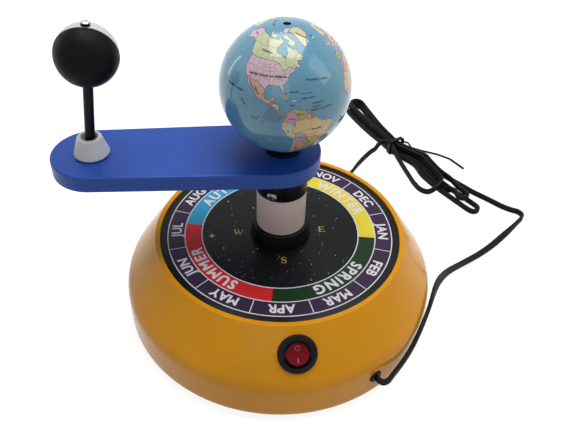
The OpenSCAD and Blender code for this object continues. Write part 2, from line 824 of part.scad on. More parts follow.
module moon_gear() {
    color(nylon) translate([-arm_len, 0, 0]) gear(even_teeth, moon_spigot_r + fit, gear_hub_r, 0);
}

module motor_plate() {
    color(steel) difference() {
        translate([0, 0, motor_plate_z])
            rounded_box([2 * hanger_x + 10, 2 * hanger_y + 10, motor_plate_t], boss_r);
        translate([0, 0, motor_plate_z - 1]) {
            cylinder(r = motor_boss_r + pass, h = motor_plate_t + 2);
            corners(hanger_x, hanger_y) cylinder(r = small_screw_r + pass, h = motor_plate_t + 2);
            corners(ear_x, 0) cylinder(r = small_screw_r + pass, h = motor_plate_t + 2);
        }
    }
}

module hanger_screws() {
    color(steel) translate([0, 0, motor_plate_z]) corners(hanger_x, hanger_y)
        pan_screw(small_screw_r, small_head_r, pan_h, hanger_screw_h);
}

module gear_motor() {
    color(steel) difference() {
        union() {
            translate([0, 0, motor_plate_z - motor_h]) cylinder(r = motor_r, h = motor_h);
            translate([0, 0, motor_plate_z - ear_t])
                rounded_box([2 * (ear_x + ear_end), ear_w, ear_t], ear_end);
            translate([0, 0, motor_plate_z - 1]) cylinder(r = motor_boss_r, h = motor_plate_t + 1);
        }
        translate([0, 0, motor_shaft_z]) cylinder(r = motor_shaft_r + run, h = motor_h);
        translate([0, 0, motor_plate_z - ear_t - 1])
            corners(ear_x, 0) cylinder(r = small_screw_r + pass, h = ear_t + 2);
    }
}

// Each screw hangs head up through the plate and the ear, with a nut under the ear
module motor_screws() {
    color(steel) for (side = [-1, 1]) translate([side * ear_x, 0, 0]) {
        translate([0, 0, motor_plate_top_z]) cylinder(r = small_head_r, h = pan_h);
        translate([0, 0, motor_plate_z - ear_t - screw_out])
            cylinder(r = small_screw_r, h = screw_out + ear_t + motor_plate_t + pan_h / 2);
        translate([0, 0, motor_plate_z - ear_t - nut_t])
            cylinder(r = small_screw_r * 2, h = nut_t, $fn = 6);
    }
}

module switch_housing() {
    color(black) panel_frame() difference() {
        rotate_extrude() polygon(concat(
            [
                [0, -switch_body_h],
                [switch_body_r, -switch_body_h],
                [switch_body_r, 0],
                [bezel_r, 0]
            ],
            arc(bezel_r - 0.8, bezel_h - 0.8, 0.8, 0, 90, 4),
            [[well_r, bezel_h], [well_r, -well_h], [0, -well_h]]
        ));
        translate([0, -rocker_pin_y - pass, rocker_z]) rotate([-90, 0, 0])
            cylinder(r = rocker_pin_r + run, h = 2 * (rocker_pin_y + pass), $fn = 32);
    }
}

// A ball cut by two planes that rise from its middle line toward both ends
module rocker_shape() {
    wedge = rocker_top + rocker_r * tan(rocker_tilt);
    intersection() {
        sphere(r = rocker_r);
        rotate([90, 0, 0]) translate([0, 0, -rocker_r]) linear_extrude(2 * rocker_r) polygon([
            [-rocker_r, -rocker_depth],
            [rocker_r, -rocker_depth],
            [rocker_r, wedge],
            [0, rocker_top],
            [-rocker_r, wedge]
        ]);
    }
    rotate([-90, 0, 0]) translate([0, 0, -rocker_pin_y])
        cylinder(r = rocker_pin_r, h = 2 * rocker_pin_y, $fn = 32);
}

module switch_rocker() {
    color("#c01818") panel_frame() translate([0, 0, rocker_z]) rotate([0, -rocker_tilt, 0])
        rocker_shape();
}

module switch_terminals() {
    color(brass) panel_frame() for (y = blade_y)
        translate([-2.4, y - 0.4, -switch_body_h - blade_h]) cube([4.8, 0.8, blade_h]);
}

module terminal_frame() {
    translate([terminal_x, terminal_y, plate_top_z]) children();
}

module terminal_block() {
    color(white) terminal_frame() difference() {
        union() {
            translate([-terminal_w / 2, -terminal_d / 2, 0]) cube([terminal_w, terminal_d, terminal_h - 4]);
            for (i = [-1:1]) translate([i * terminal_step - 3.4, -terminal_d / 4, 0])
                cube([6.8, terminal_d / 2, terminal_h]);
        }
        for (i = [-1:1]) translate([i * terminal_step, 0, 2]) cylinder(r = 1.8, h = terminal_h, $fn = 32);
    }
}

module lead_clamp() {
    color(nylon) translate([clamp_at[0], clamp_at[1], plate_top_z]) rotate([0, 0, clamp_deg]) difference() {
        translate([-4, -8, 0]) cube([8, 16, lead_t + 2]);
        translate([-5, -lead_w / 2 - pass, -1]) cube([10, lead_w + 2 * pass, lead_t + 1 + 2 * pass]);
    }
}

module lead_grommet() {
    color(black) difference() {
        wall_frame(0) rotate_extrude() polygon([
            [0, base_r - base_wall - 2],
            [grommet_r - 0.6, base_r - base_wall - 2],
            [grommet_r - 0.6, base_r - base_wall - 0.2],
            [grommet_neck_r, base_r - base_wall - 0.2],
            [grommet_neck_r, base_r + fit],
            [grommet_r, base_r + fit],
            [grommet_r, grommet_out_r - 0.6],
            [grommet_r - 0.6, grommet_out_r],
            [0, grommet_out_r]
        ]);
        wall_frame(base_r - base_wall - 3) translate([-lead_w / 2, -lead_t / 2, 0])
            cube([lead_w, lead_t, 4 * base_wall]);
    }
}

// Half the height that the lead's section takes up when it is rolled by an angle
function half_height(roll) = lead_w / 2 * abs(sin(roll)) + lead_t / 2 * abs(cos(roll));
function unit(v) = v / norm(v);
function along(path, i) = unit(path[min(i + 1, len(path) - 1)] - path[max(i - 1, 0)]);
// One ring of the section: the roll turns its width from level to upright
function ring(p, t, roll, section) =
    let (
        u = unit(cross([0, 0, 1], t)),
        v = cross(t, u),
        w = cos(roll) * u + sin(roll) * v,
        b = cos(roll) * v - sin(roll) * u
    )
    [for (q = section) p + q[0] * w + q[1] * b];
// The section has n corners and a flat face each side
function lead_section(n, w, t) =
    let (
        a = w / 2 - t / 3,
        c = n == 8 ? [t / 6, -t / 6] : [0]
    )
    concat(
        [for (b = c) [w / 2, -b]],
        [[a, t / 2], [-a, t / 2]],
        [for (b = c) [-w / 2, b]],
        [[-a, -t / 2], [a, -t / 2]]
    );
function round_section(n, r) = [for (i = [0:n - 1]) r * [cos(i * 360 / n), sin(i * 360 / n)]];

module sweep(path, rolls, section) {
    n = len(section);
    last = len(path) - 1;
    points = [for (i = [0:last]) each ring(path[i], along(path, i), rolls[i], section)];
    sides = [
        for (i = [0:last - 1], k = [0:n - 1])
            let (a = i * n + k, b = i * n + (k + 1) % n)
            each [[a, b + n, b], [a, a + n, b + n]]
    ];
    caps = [
        for (k = [1:n - 2])
            each [[0, k, k + 1], [last * n, last * n + k + 1, last * n + k]]
    ];
    polyhedron(points, concat(sides, caps));
}

module inner_lead(route, section) {
    sweep([for (p = route) [p[0], p[1], p[2]]], rolls_of(route), section);
}

module inner_leads() {
    color(black) inner_lead(feed_route, lead_section(8, lead_w, lead_t));
    color(black) for (route = wire_routes) inner_lead(route, round_section(8, wire_r));
}

module lead_stretch() {
    color(black) sweep(stretch_path, stretch_rolls, lead_section(8, lead_w, lead_t));
}

module lead_hank() {
    color(black) sweep(hank_path, [for (p = hank_path) 90], lead_section(6, lead_w, lead_t));
}

module lead_tail() {
    color(black) sweep(tail_path, tail_rolls, lead_section(8, lead_w, lead_t));
}

// The tie goes round the hank at its waist and ends in a tail on the table
module hank_tie() {
    high = 2 * layer_step + tie_lift + tie_t;
    wide = 2 * tie_in;
    color(black) translate([tie_x, tie_y, 0]) rotate([0, 0, tie_deg]) rotate([90, 0, 90])
        translate([0, high / 2 + tie_floor, -tie_w / 2]) difference() {
            rounded_box([wide + 2 * tie_t, high, tie_w], 2);
            translate([0, 0, -1]) rounded_box([wide, high - 2 * tie_t, tie_w + 2], 1);
        }
    color(black)
        sweep(tie_tail, [for (p = tie_tail) 0], [[1.2, -0.3], [1.2, 0.3], [-1.2, 0.3], [-1.2, -0.3]]);
}

module plug_frame() {
    translate([plug_x, plug_y, plug_t / 2]) rotate([0, 0, 180]) children();
}

module plug_body() {
    color(black) plug_frame() difference() {
        union() {
            intersection() {
                translate([relief_len, 0, -plug_t / 2]) linear_extrude(plug_t) polygon([
                    [0, -plug_w * 0.2], [plug_len * 0.45, -plug_w / 2], [plug_len, -plug_w / 2],
                    [plug_len, plug_w / 2], [plug_len * 0.45, plug_w / 2], [0, plug_w * 0.2]
                ]);
                rotate([0, 90, 0]) translate([0, 0, relief_len]) rounded_box([plug_t, plug_w, plug_len], 4);
            }
            for (i = [0:relief_n - 1]) translate([i * relief_len / relief_n, 0, 0]) rotate([0, 90, 0])
                cylinder(r = 4.2 + i * 0.3, h = relief_len / relief_n - 0.8);
            rotate([0, 90, 0]) cylinder(r = 3.8, h = relief_len + 1);
        }
        for (side = [-1, 1]) translate([relief_len + plug_len - pin_depth, side * plug_pin_y, 0])
            rotate([0, 90, 0]) cylinder(r = plug_pin_r - pin_step + fit, h = pin_depth + 1);
    }
}

module plug_pins() {
    color(brass) plug_frame() for (side = [-1, 1])
        translate([relief_len + plug_len - pin_depth, side * plug_pin_y, 0]) rotate([0, 90, 0]) {
            cylinder(r = plug_pin_r - pin_step, h = pin_depth + 1);
            translate([0, 0, pin_depth]) cylinder(r = plug_pin_r, h = plug_pin_h - 1);
            translate([0, 0, pin_depth + plug_pin_h - 1]) cylinder(r1 = plug_pin_r, r2 = 1.2, h = 1);
        }
}

module motor_shaft() {
    color(steel) translate([0, 0, motor_shaft_z + 0.2])
        cylinder(r = motor_shaft_r, h = motor_plate_z + motor_shaft_h - motor_shaft_z - 0.2);
}

module shaft_coupling() {
    color(brass) difference() {
        translate([0, 0, coupling_z]) cylinder(r = coupling_r, h = coupling_h);
        translate([0, 0, coupling_z - 1]) cylinder(r = motor_shaft_r + fit, h = coupling_h / 2 + 1);
        translate([0, 0, coupling_z + coupling_h / 2 - 0.1]) cylinder(r = shaft_r + fit, h = coupling_h);
        for (z = set_screw_z) translate([0, 0, z]) rotate([0, 90, 0])
            cylinder(r = small_screw_r + fit, h = coupling_r + 1);
    }
}

module coupling_screws() {
    color(steel) {
        translate([motor_shaft_r + fit, 0, set_screw_z[0]]) rotate([0, 90, 0])
            cylinder(r = small_screw_r, h = coupling_r - motor_shaft_r - 2 * fit);
        translate([shaft_r + fit, 0, set_screw_z[1]]) rotate([0, 90, 0])
            cylinder(r = small_screw_r, h = coupling_r - shaft_r - 2 * fit);
    }
}

module drive_shaft() {
    color(steel) difference() {
        translate([0, 0, shaft_low_z]) cylinder(r = shaft_r, h = shaft_top_z - shaft_low_z);
        translate([0, 0, shaft_top_z - spindle_depth]) cylinder(r = spindle_r + fit, h = spindle_depth + 1);
    }
}

// The arm's outline: an arc round each end, joined by the straight lines that touch both, inset by t
function arm_outline(t) =
    let (lean = acos((arm_tip_r - arm_hub_r) / (arm_len - arm_hub_shift)))
    concat(
        arc(-arm_hub_shift, 0, arm_hub_r - t, -lean, lean, 40),
        arc(-arm_len, 0, arm_tip_r - t, lean, 360 - lean, 40)
    );

module arm_end(x, r) {
    translate([x, 0, arm_z]) rotate_extrude($fn = 80) polygon(concat(
        [[0, 0], [r, 0]],
        arc(r - arm_round, arm_t - arm_round, arm_round, 0, 90, 4),
        [[0, arm_t]]
    ));
}

module at_arm_screws() {
    for (k = [0.5, 2, 3.5], side = [-1, 1]) translate([-k * centre_step, side * arm_screw_y, 0]) children();
}

module at_idlers() {
    for (k = [1:3]) translate([axle_x[k], 0, 0]) children();
}

module arm_housing() {
    color(blue) difference() {
        union() {
            difference() {
                hull() {
                    arm_end(-arm_hub_shift, arm_hub_r);
                    arm_end(-arm_len, arm_tip_r);
                }
                translate([0, 0, arm_z - 1])
                    linear_extrude(arm_t - arm_wall + 1) polygon(arm_outline(arm_wall));
            }
            translate([0, 0, cover_top_z]) at_arm_screws() cylinder(r = 3, h = top_plate_z - cover_top_z + 1);
            translate([0, 0, gear_top_z + run]) at_idlers() cylinder(r = pin_r * 2, h = pin_boss_h + 1);
        }
        translate([-key_side / 2 - pass, -key_side / 2 - pass, top_plate_z - 1])
            cube([key_side + 2 * pass, key_side + 2 * pass, arm_wall + 2]);
        translate([-arm_len, 0, top_plate_z - 1]) cylinder(r = moon_bush_r + fit, h = arm_wall + 2);
        translate([0, 0, cover_top_z - 1]) {
            at_arm_screws() cylinder(r = arm_screw_r + fit, h = arm_screw_h - 1);
            at_idlers() cylinder(r = pin_r + fit, h = pin_top_z - cover_top_z + 1 + fit);
        }
    }
}

module arm_cover() {
    color(blue) difference() {
        union() {
            translate([0, 0, arm_z]) linear_extrude(cover_t) polygon(arm_outline(arm_wall + pass));
            translate([0, 0, arm_z]) at_idlers() cylinder(r = pin_r * 2, h = cover_t + pin_boss_h);
        }
        translate([0, 0, arm_z - 1]) {
            cylinder(r = sleeve_r + air, h = cover_t + 2);
            at_arm_screws() {
                cylinder(r = arm_screw_r + pass, h = cover_t + 2);
                translate([0, 0, 1]) cylinder(r1 = 2 * arm_screw_r + pass, r2 = arm_screw_r + pass, h = 1);
            }
        }
        translate([0, 0, pin_low_z - fit]) at_idlers() cylinder(r = pin_r + fit, h = cover_t + 2);
    }
}

module arm_screws() {
    color(steel) translate([0, 0, arm_z]) at_arm_screws()
        flat_screw(arm_screw_r, 2 * arm_screw_r, 1, arm_screw_h - 1);
}

module idler_pins() {
    color(steel) translate([0, 0, pin_low_z]) at_idlers() cylinder(r = pin_r, h = pin_top_z - pin_low_z);
}

module moon_bush() {
    color(nylon) translate([-arm_len, 0, 0]) {
        tube_ring(moon_bush_r, moon_spigot_r + run, gear_top_z + run, arm_top_z);
        tube_ring(moon_bush_r + 1.5, moon_spigot_r + run, arm_top_z, arm_top_z + bush_flange_t);
    }
}

module globe_seat() {
    color(black) difference() {
        union() {
            rotate_extrude() polygon(concat(
                [[0, arm_top_z], [seat_flange_r, arm_top_z]],
                arc(seat_flange_r - 0.6, arm_top_z + 1, 0.6, 0, 90, 4),
                [[seat_boss_r, arm_top_z + 1.6]],
                arc(seat_boss_r - 0.6, seat_top_z - 0.6, 0.6, 0, 90, 4),
                [[0, seat_top_z]]
            ));
            translate([-key_side / 2, -key_side / 2, top_plate_z + fit])
                cube([key_side, key_side, arm_wall]);
        }
        translate([0, 0, top_plate_z - 1])
            cylinder(r = shaft_r + fit, h = shaft_top_z - top_plate_z + 1 + fit);
        translate([0, 0, top_plate_z]) cylinder(r = spindle_r + fit, h = seat_h + arm_wall + 1);
    }
}

module globe_spindle() {
    low = shaft_top_z - spindle_depth + fit;
    color(steel) translate([0, 0, low]) cylinder(r = spindle_r, h = globe_z + globe_r - 1.2 - low);
}

module globe_half(side) {
    difference() {
        sphere(r = globe_r, $fn = 144);
        sphere(r = globe_r - globe_wall, $fn = 144);
        translate([-globe_r, -globe_r, side > 0 ? -globe_r : 0]) cube([2 * globe_r, 2 * globe_r, globe_r]);
        translate([0, 0, -globe_r - 1]) cylinder(r = pole_plug_r + fit, h = 2 * globe_r + 2);
    }
}

module globe_north() {
    color("#3f93b8") translate([0, 0, globe_z]) globe_half(1);
}

module globe_south() {
    color("#3f93b8") translate([0, 0, globe_z]) {
        globe_half(-1);
        tube_ring(globe_r - globe_wall + 0.5, globe_r - globe_wall - 1, -4, 0);
        tube_ring(globe_r - globe_wall - pass, globe_r - globe_wall - 1, -1, 2);
    }
}

module pole_plug(low) {
    rotate_extrude() polygon([
        [spindle_r + run, plug_flange_z - 1],
        [pole_plug_r + 1.3, plug_flange_z - 1],
        [pole_plug_r + 1.3, plug_flange_z],
        [pole_plug_r, plug_flange_z],
        [pole_plug_r, low],
        [spindle_r + run, low]
    ]);
}

module pole_plugs() {
    color(black) translate([0, 0, globe_z]) {
        pole_plug(globe_r - 0.6);
        mirror([0, 0, 1]) pole_plug(globe_r + globe_gap - fit);
    }
}

module moon_frame() {
    translate([-arm_len, 0, rod_foot_z]) rotate([0, moon_lean, 0]) children();
}

module gear_keeper() {
    color(steel) translate([-arm_len, 0, gear_z]) {
        translate([0, 0, -keeper_t]) cylinder(r = moon_spigot_r + 1.2, h = keeper_t);
        cylinder(r = small_screw_r, h = keeper_h - fit);
    }
}

module moon_socket() {
    color(white) difference() {
        translate([-arm_len, 0, 0]) rotate_extrude() polygon(concat(
            [
                [0, gear_z],
                [moon_spigot_r, gear_z],
                [moon_spigot_r, cone_z],
                [cone_foot_r, cone_z],
                [cone_foot_r, cone_z + 0.6]
            ],
            arc(cone_top_r - cone_round, cone_top_z - cone_round, cone_round, 15, 90, 5),
            [[cone_hole_r, cone_top_z], [cone_hole_r, cone_top_z - hole_h], [0, cone_top_z - hole_h]]
        ));
        moon_frame() translate([0, 0, -rod_depth]) cylinder(r = rod_r + fit, h = rod_depth + hole_h);
        translate([-arm_len, 0, gear_z - 1]) cylinder(r = small_screw_r + fit, h = keeper_h + 1);
    }
}

module moon_rod() {
    color(black) moon_frame() difference() {
        union() {
            translate([0, 0, -rod_depth + fit]) cylinder(r = rod_r, h = rod_depth + rod_step_z - fit);
            cylinder(r = rod_tip_r, h = moon_top - 0.1);
        }
        translate([0, 0, moon_top - head_screw_h]) cylinder(r = 1 + fit, h = head_screw_h + 1, $fn = 32);
    }
}

module moon_half(r, side) {
    difference() {
        translate([0, 0, moon_reach]) difference() {
            sphere(r = r);
            sphere(r = r - moon_wall);
            translate([-moon_r, side > 0 ? -moon_r : 0, -moon_r]) cube([2 * moon_r, moon_r, 2 * moon_r]);
        }
        translate([0, 0, moon_reach - moon_r - 1]) cylinder(r = rod_r + fit, h = moon_r);
        translate([0, 0, moon_reach]) cylinder(r = rod_tip_r + fit, h = moon_r + 1);
        translate([0, 0, moon_top]) cylinder(r = ferrule_r + 2, h = moon_r);
    }
}

module moon_dark() {
    color(black) moon_frame() moon_half(moon_r, -1);
}

module moon_light() {
    color(white) moon_frame() moon_half(moon_r - light_step, 1);
}

module moon_ferrule() {
    color(black) moon_frame() tube_ring(ferrule_r, 1 + fit, moon_top, moon_top + ferrule_h);
}

module moon_screw() {
    color(steel) moon_frame() {
        translate([0, 0, moon_top + ferrule_h]) cylinder(r = ferrule_r + 0.3, h = head_h);
        translate([0, 0, moon_top - head_screw_h + 0.5])
            cylinder(r = 1, h = head_screw_h + ferrule_h, $fn = 32);
    }
}

base_pad();
base_plate();
plate_screws();
base_shell();
dial_disc();
post_socket();
socket_nut();
post_tube();
lower_bush();
top_collar();
collar_screw();
thrust_washer();
upper_bush();
sun_gear();
motor_plate();
hanger_screws();
gear_motor();
motor_screws();
switch_housing();
switch_rocker();
switch_terminals();
terminal_block();
inner_leads();
lead_clamp();
lead_grommet();
lead_stretch();
lead_hank();
hank_tie();
lead_tail();
plug_body();
plug_pins();
motor_shaft();
shaft_coupling();
coupling_screws();
drive_shaft();
arm_housing();
arm_cover();
arm_screws();
idler_pins();
moon_bush();
globe_seat();
globe_spindle();
idler_gear_1();
idler_gear_2();
idler_gear_3();
moon_gear();
gear_keeper();
moon_socket();
moon_rod();
moon_dark();
moon_light();
moon_ferrule();
moon_screw();
globe_north();
globe_south();
pole_plugs();
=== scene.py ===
"""Moon phase demonstrator: a dial base with a geared arm, a globe and a half-dark moon ball.

Many pieces are surfaces worked out with numpy, and others are merged, smooth-shaded copies of the frame's
nodes;
all lie in the model's own frame, in metres: Z is up along the post, the arm points along -X and the switch
faces -Y.
"""

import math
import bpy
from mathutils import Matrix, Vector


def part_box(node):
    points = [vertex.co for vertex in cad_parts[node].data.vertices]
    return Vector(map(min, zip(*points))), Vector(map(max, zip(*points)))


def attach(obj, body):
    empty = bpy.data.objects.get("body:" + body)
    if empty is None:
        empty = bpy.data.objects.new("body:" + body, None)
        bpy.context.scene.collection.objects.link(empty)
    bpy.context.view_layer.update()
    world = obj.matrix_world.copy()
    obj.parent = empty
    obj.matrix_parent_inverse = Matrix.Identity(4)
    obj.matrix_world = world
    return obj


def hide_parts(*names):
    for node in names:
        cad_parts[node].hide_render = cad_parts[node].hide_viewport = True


bl_info = {
    "name": "Moon Phase Demonstrator",
    "version": (1, 0, 0),
    "blender": (4, 5, 0),
    "location": "View3D > Sidebar > Moon Demo",
    "description": "Builds a motorised moon phase demonstrator round its CAD frame",
    "category": "Add Mesh",
}

import bmesh
import bpy
import numpy as np
from mathutils import Matrix, Vector
from mathutils.geometry import delaunay_2d_cdt

MM = 0.001
TAU = 2 * math.pi
# How near two points are merged, in a new mesh and in a mesh from the frame
MERGE = 1e-7
CAD_MERGE = 0.002 * MM
# Edges of a mesh from the frame that are sharper than this, in degrees, stay sharp
CAD_ANGLE = 32
# The same for a new mesh
EDGE_ANGLE = 35

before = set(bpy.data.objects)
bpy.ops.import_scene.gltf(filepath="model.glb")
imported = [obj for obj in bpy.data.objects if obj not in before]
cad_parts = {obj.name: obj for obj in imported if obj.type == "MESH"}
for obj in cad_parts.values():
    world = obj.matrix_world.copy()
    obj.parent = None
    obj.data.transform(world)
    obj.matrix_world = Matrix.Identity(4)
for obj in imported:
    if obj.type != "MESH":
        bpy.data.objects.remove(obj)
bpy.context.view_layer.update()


def node_size(node, axis):
    """Size of a CAD node along an axis, in metres."""
    low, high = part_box(node)
    return high[axis] - low[axis]


class DemoSizes(bpy.types.PropertyGroup):
    """Sizes that the pieces are worked out from."""

    dial_r: bpy.props.FloatProperty(
        name="Dial radius", description="Radius of the printed disc",
        default=node_size("dial_disc", 0) / 2, unit="LENGTH",
    )
    globe_r: bpy.props.FloatProperty(
        name="Globe radius", description="Radius of the globe",
        default=node_size("globe_north", 0) / 2, unit="LENGTH",
    )
    lead_w: bpy.props.FloatProperty(
        name="Lead width", description="Width of the flat twin lead",
        default=5.2 * MM, unit="LENGTH",
    )
    lead_t: bpy.props.FloatProperty(
        name="Lead thickness", description="Thickness of the flat twin lead",
        default=2.8 * MM, unit="LENGTH",
    )
    print_lift: bpy.props.FloatProperty(
        name="Print thickness", description="Height of one printed layer",
        default=0.02 * MM, unit="LENGTH",
    )


class DemoColours(bpy.types.PropertyGroup):
    """Colours of the mouldings and of the dial's print."""

    base: bpy.props.FloatVectorProperty(
        name="Base", description="Yellow of the base", subtype="COLOR", default=(0.66, 0.272, 0.002),
    )
    arm: bpy.props.FloatVectorProperty(
        name="Arm", description="Blue of the arm", subtype="COLOR", default=(0.0105, 0.062, 0.33),
    )
    black: bpy.props.FloatVectorProperty(
        name="Black", description="Black of the small mouldings", subtype="COLOR",
        default=(0.005, 0.005, 0.006),
    )
    white: bpy.props.FloatVectorProperty(
        name="White", description="White of the tube and socket", subtype="COLOR", default=(0.66, 0.64, 0.64),
    )
    rocker: bpy.props.FloatVectorProperty(
        name="Rocker", description="Red of the switch's rocker", subtype="COLOR",
        default=(0.16, 0.006, 0.010),
    )
    months: bpy.props.FloatVectorProperty(
        name="Month ring", description="Ground of the month ring", subtype="COLOR",
        default=(0.034, 0.020, 0.047),
    )


class DemoCamera(bpy.types.PropertyGroup):
    """Where the camera stands."""

    place: bpy.props.FloatVectorProperty(
        name="Place", description="Camera's place", subtype="TRANSLATION",
        default=(-35.6 * MM, -340.9 * MM, 380 * MM),
    )
    heading: bpy.props.FloatProperty(
        name="Heading", description="Angle of the view round Z, from +X", subtype="ANGLE",
        default=math.radians(83.24),
    )
    tilt: bpy.props.FloatProperty(
        name="Tilt", description="Angle of the view below the level", subtype="ANGLE",
        default=math.radians(41.43),
    )
    roll: bpy.props.FloatProperty(
        name="Roll", description="Turn of the camera about its own view", subtype="ANGLE",
        default=math.radians(-2.43),
    )
    lens: bpy.props.FloatProperty(
        name="Lens", description="Focal length for a 36 mm wide sensor, in millimetres", default=43.125,
    )


# Meshes


def mesh_piece(name, points, faces, smooth_angle):
    """A new object at the origin from points (n, 3) and faces, smooth except at edges over the angle."""
    mesh = bpy.data.meshes.new(name)
    mesh.from_pydata(np.asarray(points).tolist(), [], [list(f) for f in faces])
    mesh.validate()
    mesh.update()
    obj = bpy.data.objects.new(name, mesh)
    bpy.context.scene.collection.objects.link(obj)
    shade(mesh, smooth_angle)
    return obj


def shade(mesh, smooth_angle):
    """Smooth shading that breaks at edges sharper than the angle, in degrees."""
    mesh.shade_smooth()
    mesh.set_sharp_from_angle(angle=math.radians(smooth_angle))


def ring_faces(rings, around):
    """Quads between neighbouring rings of a grid with that many points each, as an array (n, 4)."""
    i, j = np.meshgrid(np.arange(rings - 1), np.arange(around), indexing="ij")
    k = (j + 1) % around
    quads = np.stack([i * around + j, i * around + k, (i + 1) * around + k, (i + 1) * around + j], axis=-1)
    return quads.reshape(-1, 4)


def loft(name, rings, caps=True, smooth_angle=EDGE_ANGLE):
    """A skin over rings (k, n, 3), each run the same way round, closed at its ends by flat caps.

    Point j of ring i is rings[i, j]; the quads join each ring to the next.
    """
    rings = np.asarray(rings, dtype=float)
    count, around = rings.shape[:2]
    faces = ring_faces(count, around).tolist()
    if caps:
        faces.append(list(range(around))[::-1])
        faces.append([(count - 1) * around + j for j in range(around)])
    return mesh_piece(name, rings.reshape(-1, 3), faces, smooth_angle)


def lathe_rings(profile, segments=192):
    """Rings (k, n, 3) of a profile (radius, height) turned round Z: x = r cos a, y = r sin a."""
    profile = np.asarray(profile, dtype=float)
    angle = np.arange(segments) * TAU / segments
    r = profile[:, 0:1]
    x = r * np.cos(angle)
    y = r * np.sin(angle)
    z = np.broadcast_to(profile[:, 1:2], x.shape)
    return np.stack([x, y, z], axis=-1)


def lathe(name, profile, segments=192):
    """A turned piece. A profile that starts or ends on the axis is closed there by merging its pole."""
    obj = loft(name, lathe_rings(profile, segments), caps=False)
    weld(obj.data)
    shade(obj.data, EDGE_ANGLE)
    return obj


def weld(mesh):
    """Merges points that lie on each other and turns the faces outward."""
    shape = bmesh.new()
    shape.from_mesh(mesh)
    bmesh.ops.remove_doubles(shape, verts=shape.verts, dist=MERGE)
    bmesh.ops.dissolve_degenerate(shape, edges=shape.edges, dist=MERGE)
    bmesh.ops.recalc_face_normals(shape, faces=shape.faces)
    shape.to_mesh(mesh)
    shape.free()


def arc(cx, cy, r, start, end, steps):
    """Points on an arc: (cx + r cos a, cy + r sin a), the angle running from start to end in degrees."""
    a = np.radians(np.linspace(start, end, steps + 1))
    return np.stack([cx + r * np.cos(a), cy + r * np.sin(a)], axis=-1)


def outline(*parts):
    """One list of points from lists of points and arcs."""
    return np.concatenate([np.atleast_2d(np.asarray(p, dtype=float)) for p in parts])


def smooth_copy(node, name):
    """The CAD node's own surface, merged and shaded smooth, which then stands for the node."""
    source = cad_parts[node]
    mesh = source.data.copy()
    mesh.name = name
    mesh.materials.clear()
    shape = bmesh.new()
    shape.from_mesh(mesh)
    bmesh.ops.remove_doubles(shape, verts=shape.verts, dist=CAD_MERGE)
    shape.to_mesh(mesh)
    shape.free()
    obj = bpy.data.objects.new(name, mesh)
    bpy.context.scene.collection.objects.link(obj)
    shade(mesh, CAD_ANGLE)
    even = obj.modifiers.new("Even normals", "WEIGHTED_NORMAL")
    even.keep_sharp = True
    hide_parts(node)
    return obj


def finish_piece(obj, body, material):
    """Gives the piece its material, and makes it ride on its body."""
    obj.data.materials.clear()
    for m in material if isinstance(material, (list, tuple)) else [material]:
        obj.data.materials.append(m)
    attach(obj, body)
    return obj


def finish_copies(body, *rows):
    """Smooth copies of CAD nodes on one body, from rows of the node, name, material and slot."""
    return [
        finish_piece(smooth_copy(node, name), body, materials[material])
        for node, name, material, slot in rows
    ]


# Materials


# Where the noise's values begin and end for the most part
NOISE_LOW, NOISE_HIGH = 0.3, 0.7
# Stretch of the noise that makes brush lines
BRUSHED = (1, 1, 40)


class Finish:
    """A material with a Principled surface, and short calls that add its nodes."""

    def __init__(self, name):
        self.material = bpy.data.materials.new(name)
        self.material.use_nodes = True
        self.tree = self.material.node_tree
        self.surface = self.tree.nodes["Principled BSDF"]
        self.coords = self.tree.nodes.new("ShaderNodeTexCoord").outputs["Object"]

    def link(self, a, b):
        """Joins an output to an input."""
        self.tree.links.new(a, b)

    def set(self, **values):
        """Sets the surface's own sockets, whose names are given with _ for a space."""
        for key, value in values.items():
            self.surface.inputs[key.replace("_", " ")].default_value = value
        return self

    def noise(self, scale, detail=4, roughness=0.5, stretch=(1, 1, 1)):
        """A noise on Object coordinates, stretched along the axes."""
        mapping = self.tree.nodes.new("ShaderNodeMapping")
        mapping.inputs["Scale"].default_value = stretch
        node = self.tree.nodes.new("ShaderNodeTexNoise")
        node.inputs["Scale"].default_value = scale
        node.inputs["Detail"].default_value = detail
        node.inputs["Roughness"].default_value = roughness
        self.link(self.coords, mapping.inputs["Vector"])
        self.link(mapping.outputs["Vector"], node.inputs["Vector"])
        return node.outputs["Fac"]

    def ramp(self, source, stops):
        """Colours at their places from 0 to 1, picked by the source."""
        node = self.tree.nodes.new("ShaderNodeValToRGB")
        elements = node.color_ramp.elements
        while len(elements) < len(stops):
            elements.new(0.5)
        for element, (place, colour) in zip(elements, stops):
            element.position = place
            element.color = (*colour, 1)
        self.link(source, node.inputs["Fac"])
        return node.outputs["Color"]

    def span(self, source, low, high):
        """A value from low to high as the noise goes through its usual reach."""
        node = self.tree.nodes.new("ShaderNodeMapRange")
        node.inputs["From Min"].default_value = NOISE_LOW
        node.inputs["From Max"].default_value = NOISE_HIGH
        node.inputs["To Min"].default_value = low
        node.inputs["To Max"].default_value = high
        self.link(source, node.inputs["Value"])
        return node.outputs["Result"]

    def bump(self, source, strength, distance):
        """Raises the surface by the source, in metres."""
        node = self.tree.nodes.new("ShaderNodeBump")
        node.inputs["Strength"].default_value = strength
        node.inputs["Distance"].default_value = distance
        self.link(source, node.inputs["Height"])
        self.link(node.outputs["Normal"], self.surface.inputs["Normal"])
        return self

    def tint(self, source, colour, amount):
        """The colour, made a little lighter and darker by the source."""
        low = [c * (1 - amount) for c in colour]
        high = [min(1, c * (1 + amount)) for c in colour]
        tones = self.ramp(source, [(NOISE_LOW, low), (NOISE_HIGH, high)])
        self.link(tones, self.surface.inputs["Base Color"])
        return self

    def rough(self, source, low, high):
        """A roughness from low to high."""
        self.link(self.span(source, low, high), self.surface.inputs["Roughness"])
        return self


